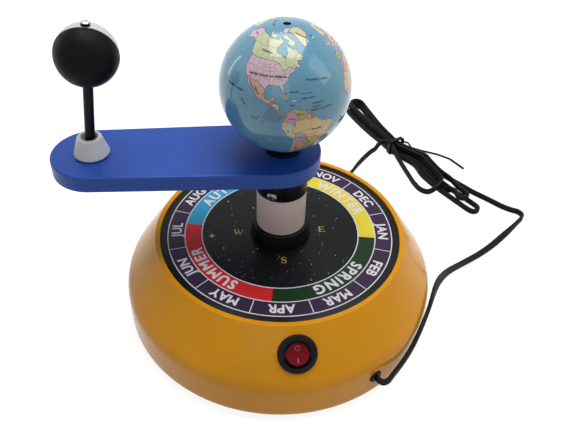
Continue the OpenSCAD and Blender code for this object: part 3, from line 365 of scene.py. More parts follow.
def plastic(name, colour, roughness=0.3, coat=0.0, orange_peel=0.15, shine=0.3):
    """Moulded plastic: a slight colour drift, uneven gloss and the faint ripple of a moulded skin."""
    f = Finish(name).set(Coat_Weight=coat, Coat_Roughness=0.08, IOR=1.5, Specular_IOR_Level=shine)
    f.tint(f.noise(18, 5), colour, 0.06)
    f.rough(f.noise(160, 6), roughness * 0.8, roughness * 1.25)
    f.bump(f.noise(240, 3), orange_peel, 0.06 * MM)
    return f.material


def metal(name, colour, roughness):
    """Metal with fine brush lines square to Z and a little wear in its shine."""
    f = Finish(name).set(Metallic=1.0)
    f.tint(f.noise(60, 4), colour, 0.08)
    f.rough(f.noise(900, 4, 0.6, BRUSHED), roughness * 0.7, roughness * 1.4)
    f.bump(f.noise(1400, 2, 0.5, BRUSHED), 0.08, 0.03 * MM)
    return f.material


def sizes():
    """The sizes in the panel."""
    return bpy.context.scene.demo_sizes


def colours():
    """The colours in the panel."""
    return bpy.context.scene.demo_colours


materials = {}


def make_materials():
    """Fills the table of materials once, from the colours in the panel."""
    if materials:
        return
    tones = colours()
    warm = [c * share for c, share in zip(tones.white, (1, 0.84, 0.79))]
    materials.update(
        yellow=plastic("yellow moulding", tones.base, 0.2, coat=0.14, orange_peel=0.12, shine=0.1),
        blue=plastic("blue moulding", tones.arm, 0.34, shine=0.25),
        black=plastic("black moulding", tones.black, 0.28, shine=0.12),
        satin=plastic("black satin ball", tones.black, 0.4, orange_peel=0.3, shine=0.06),
        white=plastic("white moulding", tones.white, 0.32),
        tube=plastic("warm white tube", warm, 0.34),
        pale=plastic("white half ball", [0.5, 0.5, 0.49], 0.35),
        nylon=plastic("nylon", [0.66, 0.62, 0.52], 0.45),
        red=plastic("red rocker", tones.rocker, 0.14, shine=0.06),
        pad=plastic("rubber pad", [0.02, 0.02, 0.02], 0.8, orange_peel=0.9, shine=0.2),
        lead=plastic("lead sheath", [0.006, 0.006, 0.006], 0.42, orange_peel=0.5, shine=0.1),
        grey=plastic("motor paint", [0.3, 0.31, 0.33], 0.4),
        steel=metal("steel", [0.5, 0.5, 0.51], 0.28),
        dark_steel=metal("dark steel", [0.17, 0.17, 0.18], 0.24),
        chrome=metal("bright screw", [0.75, 0.75, 0.76], 0.14),
        brass=metal("brass", [0.72, 0.52, 0.2], 0.25),
    )


class DEMO_OT_camera(bpy.types.Operator):
    """Places the camera at the photograph's angle"""

    bl_idname = "moon_demo.camera"
    bl_label = "Camera"

    def execute(self, context):
        spot = context.scene.demo_camera
        data = bpy.data.cameras.new("Camera")
        data.lens = spot.lens
        data.sensor_width = 36
        data.sensor_fit = "HORIZONTAL"
        data.clip_start = 0.01
        camera = bpy.data.objects.new("Camera", data)
        context.scene.collection.objects.link(camera)
        ahead = Vector((
            math.cos(spot.tilt) * math.cos(spot.heading),
            math.cos(spot.tilt) * math.sin(spot.heading),
            -math.sin(spot.tilt),
        ))
        right = ahead.cross(Vector((0, 0, 1))).normalized()
        up = right.cross(ahead)
        level = Matrix((right, up, -ahead)).transposed()
        turn = Matrix.Rotation(spot.roll, 3, ahead)
        camera.matrix_world = Matrix.Translation(spot.place) @ (turn @ level).to_4x4()
        context.scene.camera = camera
        return {"FINISHED"}


# Base

BASE_R = 105 * MM
RIM_R = 94 * MM
FOOT_ROUND = 7 * MM
SHOULDER_ROUND = 18 * MM
SHELL_WALL = 3 * MM
PAD_TOP = 1.5 * MM
PLATE_TOP = 4.5 * MM
DECK_LOW = 60 * MM
DECK_TOP = 63 * MM
DECK_R = 77.5 * MM
DIAL_Z = 64 * MM
LIP_TOP = 65.2 * MM
LIP_ROUND = 0.6 * MM
DIAL_SEAT_R = 80.15 * MM
SOCKET_HOLE_R = 17.75 * MM
SLOPE_TOP = 84 * MM
SLOPE = math.atan(32 / 21)
SWITCH_AZ = math.radians(-88.2)
SWITCH_Z = 50.5 * MM
SWITCH_SEAT = 0.8 * MM
SWITCH_SEAT_R = 12.15 * MM
SWITCH_HOLE_R = 10.05 * MM
LEAD_AZ = math.radians(-59.4)
LEAD_Z = 20.5 * MM
LEAD_HOLE_R = 3.95 * MM
LEAD_WAY = Vector((math.cos(LEAD_AZ), math.sin(LEAD_AZ), 0))


def slope_r(z):
    """Radius of the slope's line at height z: r = top + (dial - z) / tan(slope)."""
    return SLOPE_TOP + (DIAL_Z - z) / math.tan(SLOPE)


def base_profile():
    """Half section of the moulded base, from the rim under the foot up to the deck, and back inside.

    Its wall, slope and lip meet in arcs: the shoulder's arc touches the upright wall and the slope.
    """
    meet = DIAL_Z - (BASE_R - SLOPE_TOP) * math.tan(SLOPE)
    drop = SHOULDER_ROUND * math.tan((math.pi / 2 - SLOPE) / 2)
    turn = 90 - math.degrees(SLOPE)
    shoulder = BASE_R - SHOULDER_ROUND, meet - drop
    foot = BASE_R - FOOT_ROUND, PAD_TOP + FOOT_ROUND
    lip_z = LIP_TOP - LIP_ROUND
    lip_x = slope_r(lip_z) - LIP_ROUND / math.sin(SLOPE)
    outer = outline(
        [[RIM_R, PLATE_TOP], [RIM_R, PAD_TOP]],
        arc(*foot, FOOT_ROUND, -90, 0, 16),
        arc(*shoulder, SHOULDER_ROUND, 0, turn, 16),
        arc(lip_x, lip_z, LIP_ROUND, turn, 90, 8),
        arc(DIAL_SEAT_R + LIP_ROUND, lip_z, LIP_ROUND, 90, 180, 8),
        [[DIAL_SEAT_R, DECK_TOP], [SOCKET_HOLE_R, DECK_TOP], [SOCKET_HOLE_R, DECK_LOW]],
    )
    inner = outline(
        [[DECK_R, DECK_LOW]],
        arc(*shoulder, SHOULDER_ROUND - SHELL_WALL, turn, 0, 8),
        arc(*foot, FOOT_ROUND - SHELL_WALL, 0, -90, 8),
        [[RIM_R, PLATE_TOP]],
    )
    return outline(outer, inner)


def placing(x, y, z, origin):
    """A matrix whose columns are three axes and an origin."""
    return Matrix.Translation(origin) @ Matrix((x, y, z)).transposed().to_4x4()


def panel_matrix():
    """The switch's frame: X down the slope, Z square out of it, its origin sunk under the slope."""
    cos_az, sin_az = math.cos(SWITCH_AZ), math.sin(SWITCH_AZ)
    out = Vector((math.sin(SLOPE) * cos_az, math.sin(SLOPE) * sin_az, math.cos(SLOPE)))
    down = Vector((math.cos(SLOPE) * cos_az, math.cos(SLOPE) * sin_az, -math.sin(SLOPE)))
    r = slope_r(SWITCH_Z)
    place = Vector((r * cos_az, r * sin_az, SWITCH_Z)) - out * SWITCH_SEAT
    return placing(down, out.cross(down), out, place)


def cut(obj, cutters):
    """Takes the cutters' volumes out of the piece, and then removes them."""
    for tool in cutters:
        step = obj.modifiers.new("Cut", "BOOLEAN")
        step.operation = "DIFFERENCE"
        step.solver = "EXACT"
        step.object = tool
        shown = obj.evaluated_get(bpy.context.evaluated_depsgraph_get())
        mesh = bpy.data.meshes.new_from_object(shown)
        obj.modifiers.clear()
        obj.data = mesh
        bpy.data.objects.remove(tool)


def drum(name, radius, low, high, place, segments):
    """A closed cylinder along the Z of a placing matrix."""
    rings = lathe_rings([[radius, low], [radius, high]], segments)
    obj = loft(name, rings)
    obj.data.transform(place)
    return obj


def out_matrix(way, z):
    """A frame on the post's axis at height z: X down and Z along a level way out of it."""
    return placing(Vector((0, 0, -1)), Vector((0, 0, 1)).cross(way), way, Vector((0, 0, z)))


def lead_matrix():
    """The lead hole's frame: Z straight out of the wall."""
    return out_matrix(LEAD_WAY, LEAD_Z)


class DEMO_OT_base(bpy.types.Operator):
    """Builds the yellow base with its lip, the switch's seat and the lead's hole"""

    bl_idname = "moon_demo.base"
    bl_label = "Base"

    def execute(self, context):
        make_materials()
        shell = lathe("base_moulding", base_profile(), 320)
        panel = panel_matrix()
        cut(shell, [
            drum("seat cut", SWITCH_SEAT_R, 0, 6 * MM, panel, 128),
            drum("switch cut", SWITCH_HOLE_R, -8 * MM, 1 * MM, panel, 128),
            drum("lead cut", LEAD_HOLE_R, 95 * MM, 112 * MM, lead_matrix(), 48),
        ])
        shade(shell.data, 28)
        finish_piece(shell, "base", materials["yellow"])
        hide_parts("base_shell")
        return {"FINISHED"}


# Lead

# Half the lead's width and thickness in the routes below, whose places are in millimetres
HALF_W, HALF_T = 2.6, 1.4
# x, y, height of the lead's underside and roll of its width, along the free stretch
STRETCH = [
    (57.4, -95.2, 18, 90), (60.6, -94.4, 18, 90), (64.6, -90, 17.4, 90), (70, -83.6, 16.2, 90),
    (76.4, -76.2, 16.6, 90), (82.3, -69.2, 20, 90), (87.5, -62, 24.2, 90), (92.4, -54.2, 27.2, 90),
    (97.2, -45.6, 28.4, 90), (102, -36, 27.4, 80), (107.2, -25.5, 24.6, 65), (113.2, -15, 20.6, 45),
    (120.2, -5, 16, 25), (128.6, 4.6, 11.4, 10), (138.6, 13.6, 7, 0), (150, 22.6, 3.2, 0),
    (162.5, 31.6, 0.8, 0), (175, 40.6, 0, 10), (186, 49.2, 0, 35), (196, 57.6, 0, 70), (204, 65, 0, 90),
    (209.6, 70.4, 0, 90), (211.6, 74.6, 0, 90), (209.6, 78.6, 0, 90), (204.6, 81.4, 0, 90),
    (198.5, 86, 0, 90), (190, 95, 0, 90),
]
# The same from the hank to the plug
TAIL = [
    (98, 163.2, 4.6, 90), (91, 157.3, 2.4, 90), (83.8, 149.2, 0.8, 80), (77, 140, 0, 55),
    (69.5, 132.4, 0, 25), (60, 128.4, 1.6, 0), (50, 127.9, 4.6, 0),
]
# The tie's place on the floor, the hank's turn there, its bend in degrees a millimetre, and its rise
TIE_X, TIE_Y, TIE_TURN, TIE_BEND, TIE_LIFT = 123, 172, -66.4, 0.11, 1.4
# Heights of the hank's two layers, how far its far turns lie, and radius and middle of its near ones
LOW, TOP, FAR_TURN, NEAR_R, NEAR_MID = 2.6, 8.6, 74.6, 4.4, 1
# Distance from the post at which the lead leaves its grommet, and its end in the plug
LEAD_START = 107.05
PLUG_END = [(41.2, 128, 6.5), (36, 128, 6.5)]


def ease(x):
    """Smooth step from 0 to 1: 3 x^2 - 2 x^3."""
    c = min(1, max(0, x))
    return c * c * (3 - 2 * c)


def mix(a, b, x):
    """The value that is x of the way from a to b: a + (b - a) x."""
    return a + (b - a) * x


def bulge(s):
    """How far the near loops swell aside from s = 2 to s = 50, in millimetres: 5.5 times a sine squared."""
    return 5.5 * math.sin(math.pi * (s - 2) / 48) ** 2 if 2 < s < 50 else 0


def on_axis(s, across, z):
    """A place on the hank, in millimetres: its axis is an arc, s runs along it and across square to it."""
    h = math.radians(TIE_TURN + TIE_BEND * s)
    h0 = math.radians(TIE_TURN)
    k = math.radians(TIE_BEND)
    return (
        TIE_X + (math.sin(h) - math.sin(h0)) / k - across * math.sin(h),
        TIE_Y - (math.cos(h) - math.cos(h0)) / k + across * math.cos(h),
        z + TIE_LIFT * math.exp(-((s / 25) ** 2)),
    )


def spread(waist, turn, s, reach):
    """Distance across the hank: the waist at the tie, eased to the turn's own at the reach."""
    return mix(waist, turn, ease(abs(s) / reach))


def half_turn(s, mid, r, z, side, start, end):
    """Half a round turn about (s, mid): s + side r cos a along, mid + r sin a across."""
    return [
        on_axis(s + side * r * math.cos(a), mid + r * math.sin(a), z)
        for a in np.radians(np.linspace(start, end, 5))
    ]


def far_half(waist, r, z, back):
    """A run from the tie to the far turn of radius r and back to the tie."""
    return (
        [on_axis(s, spread(waist, r, s, FAR_TURN), z) for s in (-12, -28, -46, -62)]
        + half_turn(-FAR_TURN, 0, r, z, -1, 90, -90)
        + [on_axis(s, spread(back, -r, s, FAR_TURN), z) for s in (-58, -36, -14)]
    )


def hank_path():
    """The hank's turns, in millimetres: three through the tie, then the loose loop beside them."""
    path = [on_axis(84, 17.8, LOW), on_axis(76, 17, LOW)]
    path += [
        on_axis(s, w, LOW)
        for s, w in ((64, 15.4), (50, 14), (36, 16.6), (24, 19), (14, 16), (8.4, 10.2), (4, 6.05), (0, 5.4))
    ]
    path += far_half(5.4, 9.4, LOW, -5.4)
    path += [on_axis(s, spread(-5.4, -3.4, s, 50) + bulge(s), LOW) for s in (1, 14, 28, 42, 60, 84)]
    path += half_turn(100, NEAR_MID, NEAR_R, LOW, 1, -90, 90)
    path += [on_axis(s, spread(1.8, 5.4, s, 50) + bulge(s), LOW) for s in (78, 60, 42, 28, 14, 1)]
    path += far_half(1.8, 5.7, LOW, -1.8)
    path += [on_axis(s, spread(-1.8, 0.1, s, 50) + bulge(s), LOW) for s in (1, 14, 28, 42, 66)]
    path += [
        on_axis(s, mix(0.1, -3.4, ease((s - 78) / 9)), mix(LOW, TOP, ease((s - 68) / 11)))
        for s in (72, 76, 80, 84)
    ]
    path += half_turn(87, NEAR_MID, NEAR_R, TOP, 1, -90, 90)
    path += [
        on_axis(s, spread(1.8, 9.4 - 4 * ease((s - 62) / 22), s, 44) + bulge(s), TOP)
        for s in (78, 66, 52, 40, 28, 14, 1)
    ]
    path += far_half(1.8, 5.7, TOP, -1.8)
    path += [on_axis(s, spread(-1.8, 5.4, s, 44) + bulge(s), TOP) for s in (1, 14, 28, 40, 52)]
    path += [
        on_axis(*p)
        for p in (
            (60, 3.6, TOP), (64, -0.5, TOP), (66.5, -5.5, TOP), (66.5, -10.5, TOP - 1.5),
            (63.5, -15, LOW + 1), (57, -17.5, LOW), (48, -16.4, LOW), (37, -13, LOW),
            (25, -9.8, LOW + 0.6), (14, -8.2, LOW + 3), (7, -7, TOP - 0.4), (1.5, -5.6, TOP),
            (-3, -5.6, TOP), (-6.2, -7.8, TOP), (-7.2, -11.5, TOP), (-6.2, -15.5, TOP - 1.5),
            (-4.6, -19.5, TOP - 3.5),
        )
    ]
    return path


def lead_path():
    """Points of the whole lead's middle line in metres, and the roll of its width at each, in degrees."""
    def lifted(route):
        """Middle points of a route: half the lead's upright reach at its roll, above its underside."""
        rolls = [math.radians(r[3]) for r in route]
        return [
            (x, y, lift + HALF_W * abs(math.sin(a)) + HALF_T * abs(math.cos(a)))
            for (x, y, lift, _), a in zip(route, rolls)
        ]

    start = LEAD_WAY * LEAD_START + Vector((0, 0, LEAD_Z / MM))
    first = [tuple(start), tuple(start + LEAD_WAY * 1.6)]
    hank = hank_path()
    points = first + lifted(STRETCH) + hank + lifted(TAIL) + PLUG_END
    rolls = [90, 90] + [r[3] for r in STRETCH] + [90] * len(hank) + [r[3] for r in TAIL] + [0, 0]
    return np.array(points) * MM, np.array(rolls, dtype=float)


def smooth_path(points, values, step):
    """A Catmull-Rom curve through the points with centripetal knots, resampled at about the step.

    Between p1 and p2 the curve is the cubic with end slopes from the neighbouring chords; the values
    are carried along it in the same way.
    """
    both = np.concatenate([points, values[:, None]], axis=1)
    both = np.concatenate([[2 * both[0] - both[1]], both, [2 * both[-1] - both[-2]]])
    gaps = np.maximum(np.linalg.norm(np.diff(both[:, :3], axis=0), axis=1), 1e-9) ** 0.5
    out = []
    for i in range(1, len(both) - 2):
        a, b, c = gaps[i - 1], gaps[i], gaps[i + 1]
        p0, p1, p2, p3 = both[i - 1:i + 3]
        m1 = b * ((p1 - p0) / a - (p2 - p0) / (a + b) + (p2 - p1) / b)
        m2 = b * ((p2 - p1) / b - (p3 - p1) / (b + c) + (p3 - p2) / c)
        count = max(2, int(np.linalg.norm(p2[:3] - p1[:3]) / step) + 1)
        t = np.linspace(0, 1, count, endpoint=False)[:, None]
        out.append(
            (2 * t ** 3 - 3 * t ** 2 + 1) * p1 + (t ** 3 - 2 * t ** 2 + t) * m1
            + (3 * t ** 2 - 2 * t ** 3) * p2 + (t ** 3 - t ** 2) * m2
        )
    out.append(both[-2:-1])
    joined = np.concatenate(out)
    return joined[:, :3], joined[:, 3]


def sweep_rings(points, rolls, section):
    """Rings of a section (n, 2) carried along the points.

    Its first way is level at roll 0 and upright at 90, square to the path: w cos a + u sin a.
    """
    way = np.gradient(points, axis=0)
    way /= np.linalg.norm(way, axis=1)[:, None]
    level = np.cross([0, 0, 1], way)
    level /= np.linalg.norm(level, axis=1)[:, None]
    square = np.cross(way, level)
    a = np.radians(rolls)[:, None]
    wide = np.cos(a) * level + np.sin(a) * square
    thick = np.cos(a) * square - np.sin(a) * level
    across, along = section[None, :, 0:1], section[None, :, 1:2]
    return points[:, None] + across * wide[:, None] + along * thick[:, None]


def lead_section(width, thickness):
    """Two round cores side by side with a shallow groove between: each side is an arc of the thickness."""
    r = thickness / 2
    c = width / 2 - r
    right = arc(c, 0, r, -62, 62, 9)
    top = np.array([[0.28 * c, r * 0.74], [0, r * 0.66], [-0.28 * c, r * 0.74]])
    crest = arc(c, 0, r, 75, 118, 3)
    upper = outline(crest, top, crest[::-1] * [-1, 1])
    left = arc(-c, 0, r, 118, 242, 9)
    return outline(right, upper, left, upper[::-1] * [1, -1])


def lead_grommet():
    """A flanged grommet in the lead's hole, turned about the hole's way and slotted for the lead."""
    wall = lead_matrix()
    body_r, neck_r, flange_r, edge = 4.2 * MM, 3.75 * MM, 4.5 * MM, 0.8 * MM
    back, step, face, front = 98 * MM, 101.7 * MM, 105.05 * MM, 106 * MM
    grommet = turned("lead_bushing", outline(
        [[0, back], [body_r, back], [body_r, step], [neck_r, step], [neck_r, face], [flange_r, face]],
        arc(flange_r - edge, face + 0.05 * MM, edge, 0, 90, 8), [[0, front]],
    ), wall, 64)
    slot = (5.3 * MM, 2.9 * MM, 20 * MM)
    cut(grommet, [bar("lead way", slot, wall @ Matrix.Translation((0, 0, BASE_R)))])
    shade(grommet.data, EDGE_ANGLE)
    return grommet


class DEMO_OT_lead(bpy.types.Operator):
    """Builds the flat mains lead with its hank, and finishes its grommet, tie and plug"""

    bl_idname = "moon_demo.lead"
    bl_label = "Mains lead"

    def execute(self, context):
        make_materials()
        s = sizes()
        points, rolls = lead_path()
        points, rolls = smooth_path(points, rolls, 1.6 * MM)
        rings = sweep_rings(points, rolls, lead_section(s.lead_w, s.lead_t))
        lead = loft("mains_lead", rings, smooth_angle=60)
        finish_piece(lead, "base", materials["lead"])
        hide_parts("lead_stretch", "lead_hank", "lead_tail")
        on_lead = finish_copies(
            "base",
            ("plug_body", "plug_moulding", "black", "black_plastic"),
            ("plug_pins", "plug_pins_turned", "brass", "brass"),
            ("hank_tie", "lead_tie", "black", "tie_plastic"),
        )
        grommet = lead_grommet()
        finish_piece(grommet, "base", materials["satin"])
        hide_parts("lead_grommet")
        return {"FINISHED"}


# Post, switch, arm and moon

SOCKET_R = 20 * MM
SOCKET_CROWN_R = 18.2 * MM
SOCKET_NECK_R = 17.6 * MM
SOCKET_LOW = 52 * MM
SOCKET_TOP = 74.8 * MM
TUBE_R = 16 * MM
TUBE_BORE = 13.5 * MM
TUBE_LOW = 62 * MM
TUBE_TOP = 102.6 * MM
BUSH_BORE = 13.2 * MM
FIT = 0.05 * MM
COLLAR_SCREW_AZ = math.radians(-116)
COLLAR_SCREW_Z = 106.6 * MM
COLLAR_FLAT_R = 16.36 * MM
ROCKER_TILT = math.radians(11)
ROCKER_FACE = 1.54 * MM
MARK_LIFT = 0.2 * MM
MOON_X = -114 * MM
ROD_FOOT = 139.95 * MM
ROD_LEAN = math.radians(6.9)
MOON_REACH = 57.8 * MM
MOON_TOP = 74.77 * MM
SEAM_TILT = math.radians(9)
DARK_R = 17.5 * MM
LIGHT_R = 17.2 * MM
BALL_WALL = 2 * MM
# Radius, start and end along the rod of each bore in the ball
ROD_BORES = (
    (2.95 * MM, 39 * MM, MOON_REACH), (2.05 * MM, MOON_REACH, 77 * MM), (4.5 * MM, MOON_TOP, 80 * MM),
)
SLEEVE_R = 2.5 * MM
SLEEVE_H = 1.6 * MM
SLEEVE_BORE = 1.05 * MM


def turned(name, profile, place, segments=96):
    """A turned piece whose profile (radius, height) stands along the Z of a placing matrix."""
    obj = lathe(name, profile, segments)
    obj.data.transform(place)
    return obj


def bar(name, size, place):
    """A closed box centred on the origin of a placing matrix, as a cutter."""
    x, y, z = (v / 2 for v in size)
    square = np.array([[-x, -y], [x, -y], [x, y], [-x, y]])
    rings = [np.column_stack([square, np.full(4, h)]) for h in (-z, z)]
    obj = loft(name, rings)
    obj.data.transform(place)
    return obj


def cross_screw(name, place, head_r, head_h, shank_r, shank):
    """A pan head on a shank with a cross driven into it.

    The head's edge is a quarter of an ellipse: 0.35 + 0.65 cos a of its radius out and 0.35 + 0.65 sin a
    of its height up.
    """
    a = np.radians(np.linspace(0, 90, 13))
    crown = np.stack([head_r * (0.35 + 0.65 * np.cos(a)), head_h * (0.35 + 0.65 * np.sin(a))], axis=-1)
    screw = turned(name, outline(
        [[0, -shank], [shank_r, -shank], [shank_r, 0], [head_r, 0]], crown, [[0, head_h]],
    ), place)
    top = place @ Matrix.Translation((0, 0, head_h))
    blade = (1.25 * head_r, 0.24 * head_r, 1.1 * head_h)
    cut(screw, [
        bar("cross cut", blade, top @ Matrix.Rotation(math.radians(turn), 4, "Z")) for turn in (20, 110)
    ])
    shade(screw.data, 30)
    return screw


class DEMO_OT_post(bpy.types.Operator):
    """Builds the dial's socket, the white tube, the black collar and its screw"""

    bl_idname = "moon_demo.post"
    bl_label = "Post"

    def execute(self, context):
        make_materials()
        edge, crown = 0.4 * MM, 1 * MM
        socket = lathe("post_socket_turned", outline(
            [[BUSH_BORE, SOCKET_LOW], [SOCKET_NECK_R, SOCKET_LOW], [SOCKET_NECK_R, DIAL_Z]],
            arc(SOCKET_R - edge, DIAL_Z + edge, edge, -90, 0, 4),
            [[SOCKET_R, DIAL_Z + crown]],
            arc(SOCKET_CROWN_R - crown, SOCKET_TOP - crown, crown, 10, 90, 10),
            [[TUBE_R + FIT, SOCKET_TOP], [TUBE_R + FIT, TUBE_LOW], [BUSH_BORE, TUBE_LOW]],
            [[BUSH_BORE, SOCKET_LOW]],
        ))
        finish_piece(socket, "base", materials["black"])
        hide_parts("post_socket")
        tube = lathe("post_tube_turned", [
            [TUBE_BORE, TUBE_LOW], [TUBE_R, TUBE_LOW], [TUBE_R, TUBE_TOP - 0.4 * MM],
            [TUBE_R - 0.1 * MM, TUBE_TOP], [TUBE_BORE, TUBE_TOP], [TUBE_BORE, TUBE_LOW],
        ])
        finish_piece(tube, "base", materials["tube"])
        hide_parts("post_tube")
        finish_copies(
            "base",
            ("top_collar", "post_collar", "black", "black_plastic"),
            ("thrust_washer", "post_washer", "nylon", "nylon"),
        )
        out = Vector((math.cos(COLLAR_SCREW_AZ), math.sin(COLLAR_SCREW_AZ), 0))
        place = out_matrix(out, COLLAR_SCREW_Z) @ Matrix.Translation((0, 0, COLLAR_FLAT_R))
        screw = cross_screw(
            "collar_screw_turned", place, head_r=3.3 * MM, head_h=2 * MM, shank_r=2 * MM, shank=4 * MM,
        )
        finish_piece(screw, "base", materials["dark_steel"])
        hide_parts("collar_screw")
        return {"FINISHED"}


class DEMO_OT_switch(bpy.types.Operator):
    """Builds the round rocker switch on the base's slope"""

    bl_idname = "moon_demo.switch"
    bl_label = "Switch"

    def execute(self, context):
        make_materials()
        finish_copies("base", ("switch_housing", "switch_bezel", "black", "black_plastic"))
        finish_copies("switch", ("switch_rocker", "switch_key", "red", "red_plastic"))
        ring = arc(-3.6 * MM, 0, 1.35 * MM, 0, 360, 32)
        stroke = np.array([[2.1 * MM, 0], [5.1 * MM, 0]])
        sheet = Print()
        for line, width in ((ring, 0.2 * MM), (stroke, 0.36 * MM)):
            flat, faces = pen(line, np.full(len(line), width))
            height = ROCKER_FACE + np.abs(flat[:, 0]) * math.tan(ROCKER_TILT)
            sheet.add(np.column_stack([flat, height]), faces, "mark")
        marks = sheet.build("switch_marks", {"mark": ink("switch marks", (0.42, 0.26, 0.27))})
        on_key = Matrix.Translation((0, 0, MARK_LIFT)) @ Matrix.Rotation(-ROCKER_TILT, 4, "Y")
        marks.data.transform(panel_matrix() @ on_key)
        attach(marks, "switch")
        return {"FINISHED"}


class DEMO_OT_arm(bpy.types.Operator):
    """Builds the blue arm's housing, its cover and the globe's seat"""

    bl_idname = "moon_demo.arm"
    bl_label = "Arm"

    def execute(self, context):
        make_materials()
        finish_copies(
            "arm",
            ("arm_housing", "arm_moulding", "blue", "blue_plastic"),
            ("arm_cover", "arm_lid", "blue", "blue_plastic"),
            ("arm_screws", "arm_lid_screws", "steel", "steel"),
            ("moon_bush", "moon_bushing", "nylon", "nylon"),
            ("globe_seat", "globe_hub", "satin", "black_plastic"),
            ("globe_spindle", "globe_pin", "steel", "steel"),
        )
        return {"FINISHED"}


def moon_matrix():
    """The ball's frame: its origin at the rod's foot, Z up the leaning rod."""
    return Matrix.Translation((MOON_X, 0, ROD_FOOT)) @ Matrix.Rotation(ROD_LEAN, 4, "Y")


def half_ball(name, r, side):
    """Half a hollow ball, bored for the rod: arcs of r and r less its wall, turned square to the seam."""
    centre = Matrix.Translation((0, 0, MOON_REACH))
    seam = Matrix.Rotation(SEAM_TILT, 4, "X")
    lie = Matrix.Rotation(math.radians(90) * side, 4, "X")
    half = outline(arc(0, 0, r, 0, 90, 48), arc(0, 0, r - BALL_WALL, 90, 0, 40), [[r, 0]])
    ball = turned(name, half, moon_matrix() @ centre @ seam @ lie, 128)
    cut(ball, [drum("bore cut", *bore, moon_matrix(), 64) for bore in ROD_BORES])
    shade(ball.data, 30)
    return ball


class DEMO_OT_moon(bpy.types.Operator):
    """Builds the white socket, the leaning rod and the half-dark ball"""

    bl_idname = "moon_demo.moon"
    bl_label = "Moon"

    def execute(self, context):
        make_materials()
        finish_copies(
            "moon",
            ("moon_socket", "moon_cone", "white", "white_plastic"),
            ("moon_rod", "moon_stem", "black", "black_plastic"),
        )
        for name, r, side, material, slot, node in (
            ("moon_dark_half", DARK_R, 1, "satin", "moon_black", "moon_dark"),
            ("moon_light_half", LIGHT_R, -1, "pale", "moon_white", "moon_light"),
        ):
            half = half_ball(name, r, side)
            finish_piece(half, "moon", materials[material])
            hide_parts(node)
        top = moon_matrix() @ Matrix.Translation((0, 0, MOON_TOP))
        edge = 0.15 * MM
        sleeve = turned("moon_sleeve", [
            [SLEEVE_BORE, 0], [SLEEVE_R, 0], [SLEEVE_R, SLEEVE_H - edge], [SLEEVE_R - edge, SLEEVE_H],
            [SLEEVE_BORE, SLEEVE_H], [SLEEVE_BORE, 0],
        ], top, 64)
        finish_piece(sleeve, "moon", materials["black"])
        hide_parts("moon_ferrule")
        head = moon_matrix() @ Matrix.Translation((0, 0, MOON_TOP + SLEEVE_H))
        screw = cross_screw(
            "moon_top_screw", head, head_r=2.2 * MM, head_h=0.8 * MM, shank_r=1 * MM, shank=9 * MM,
        )
        finish_piece(screw, "moon", materials["chrome"])
        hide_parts("moon_screw")
        return {"FINISHED"}


class DEMO_OT_works(bpy.types.Operator):
    """Finishes the motor, the gears and what else is shut inside"""

    bl_idname = "moon_demo.works"
    bl_label = "Works"

    inner = {
        "pad": ("base_pad",),
        "black": ("base_plate", "socket_nut", "pole_plugs"),
        "steel": (
            "plate_screws", "hanger_screws", "motor_screws", "motor_plate", "motor_shaft", "coupling_screws",
            "drive_shaft", "idler_pins", "gear_keeper",
        ),
        "grey": ("gear_motor",),
        "brass": ("switch_terminals", "shaft_coupling"),
        "white": ("terminal_block",),
        "lead": ("inner_leads",),
        "nylon": (
            "lower_bush", "upper_bush", "sun_gear", "idler_gear_1", "idler_gear_2", "idler_gear_3",
            "moon_gear", "lead_clamp",
        ),
    }

    def execute(self, context):
        make_materials()
        for key, nodes in self.inner.items():
            for node in nodes:
                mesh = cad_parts[node].data
                mesh.materials.clear()
                mesh.materials.append(materials[key])
        return {"FINISHED"}


# Dial

MONTHS = ("JAN", "FEB", "MAR", "APR", "MAY", "JUN", "JUL", "AUG", "SEP", "OCT", "NOV", "DEC")
# Azimuth where the first month's sector begins; height, foot and boldness of the months' letters
MONTH_START = -19
MONTH_H, MONTH_FOOT, MONTH_BOLD = 6.9 * MM, 2.1 * MM, 0.28 * MM
# Name, middle in degrees and ground colour of each season
SEASONS = (
    ("AUTUMN", 125.5, (0.035, 0.30, 0.50)),
    ("WINTER", 35.5, (0.70, 0.56, 0.045)),
    ("SPRING", -54.5, (0.010, 0.032, 0.012)),
    ("SUMMER", -144.5, (0.56, 0.022, 0.028)),
)
SEASON_H, SEASON_FOOT, SEASON_BOLD = 7.8 * MM, 1.8 * MM, 0.36 * MM
# The printed rings as parts of the dial's radius, and half the width of their lines
RINGS = (0.6565, 0.7987, 0.9384)
HALF_LINE = 0.35 * MM
COMPASS_H = 5.4 * MM
COMPASS_AT = 0.35
STARS = 160
# Azimuth and place on the radius of the one bright star
BRIGHT_AZ, BRIGHT_AT = math.radians(-176.7), 0.575
# Height of the font's capitals at size 1, and the rise from one copy of a bold word to the next
CAPITAL = 0.7
LAYER = 0.004 * MM
THICK, THIN, POINTED = 0.17, 0.06, 0.03
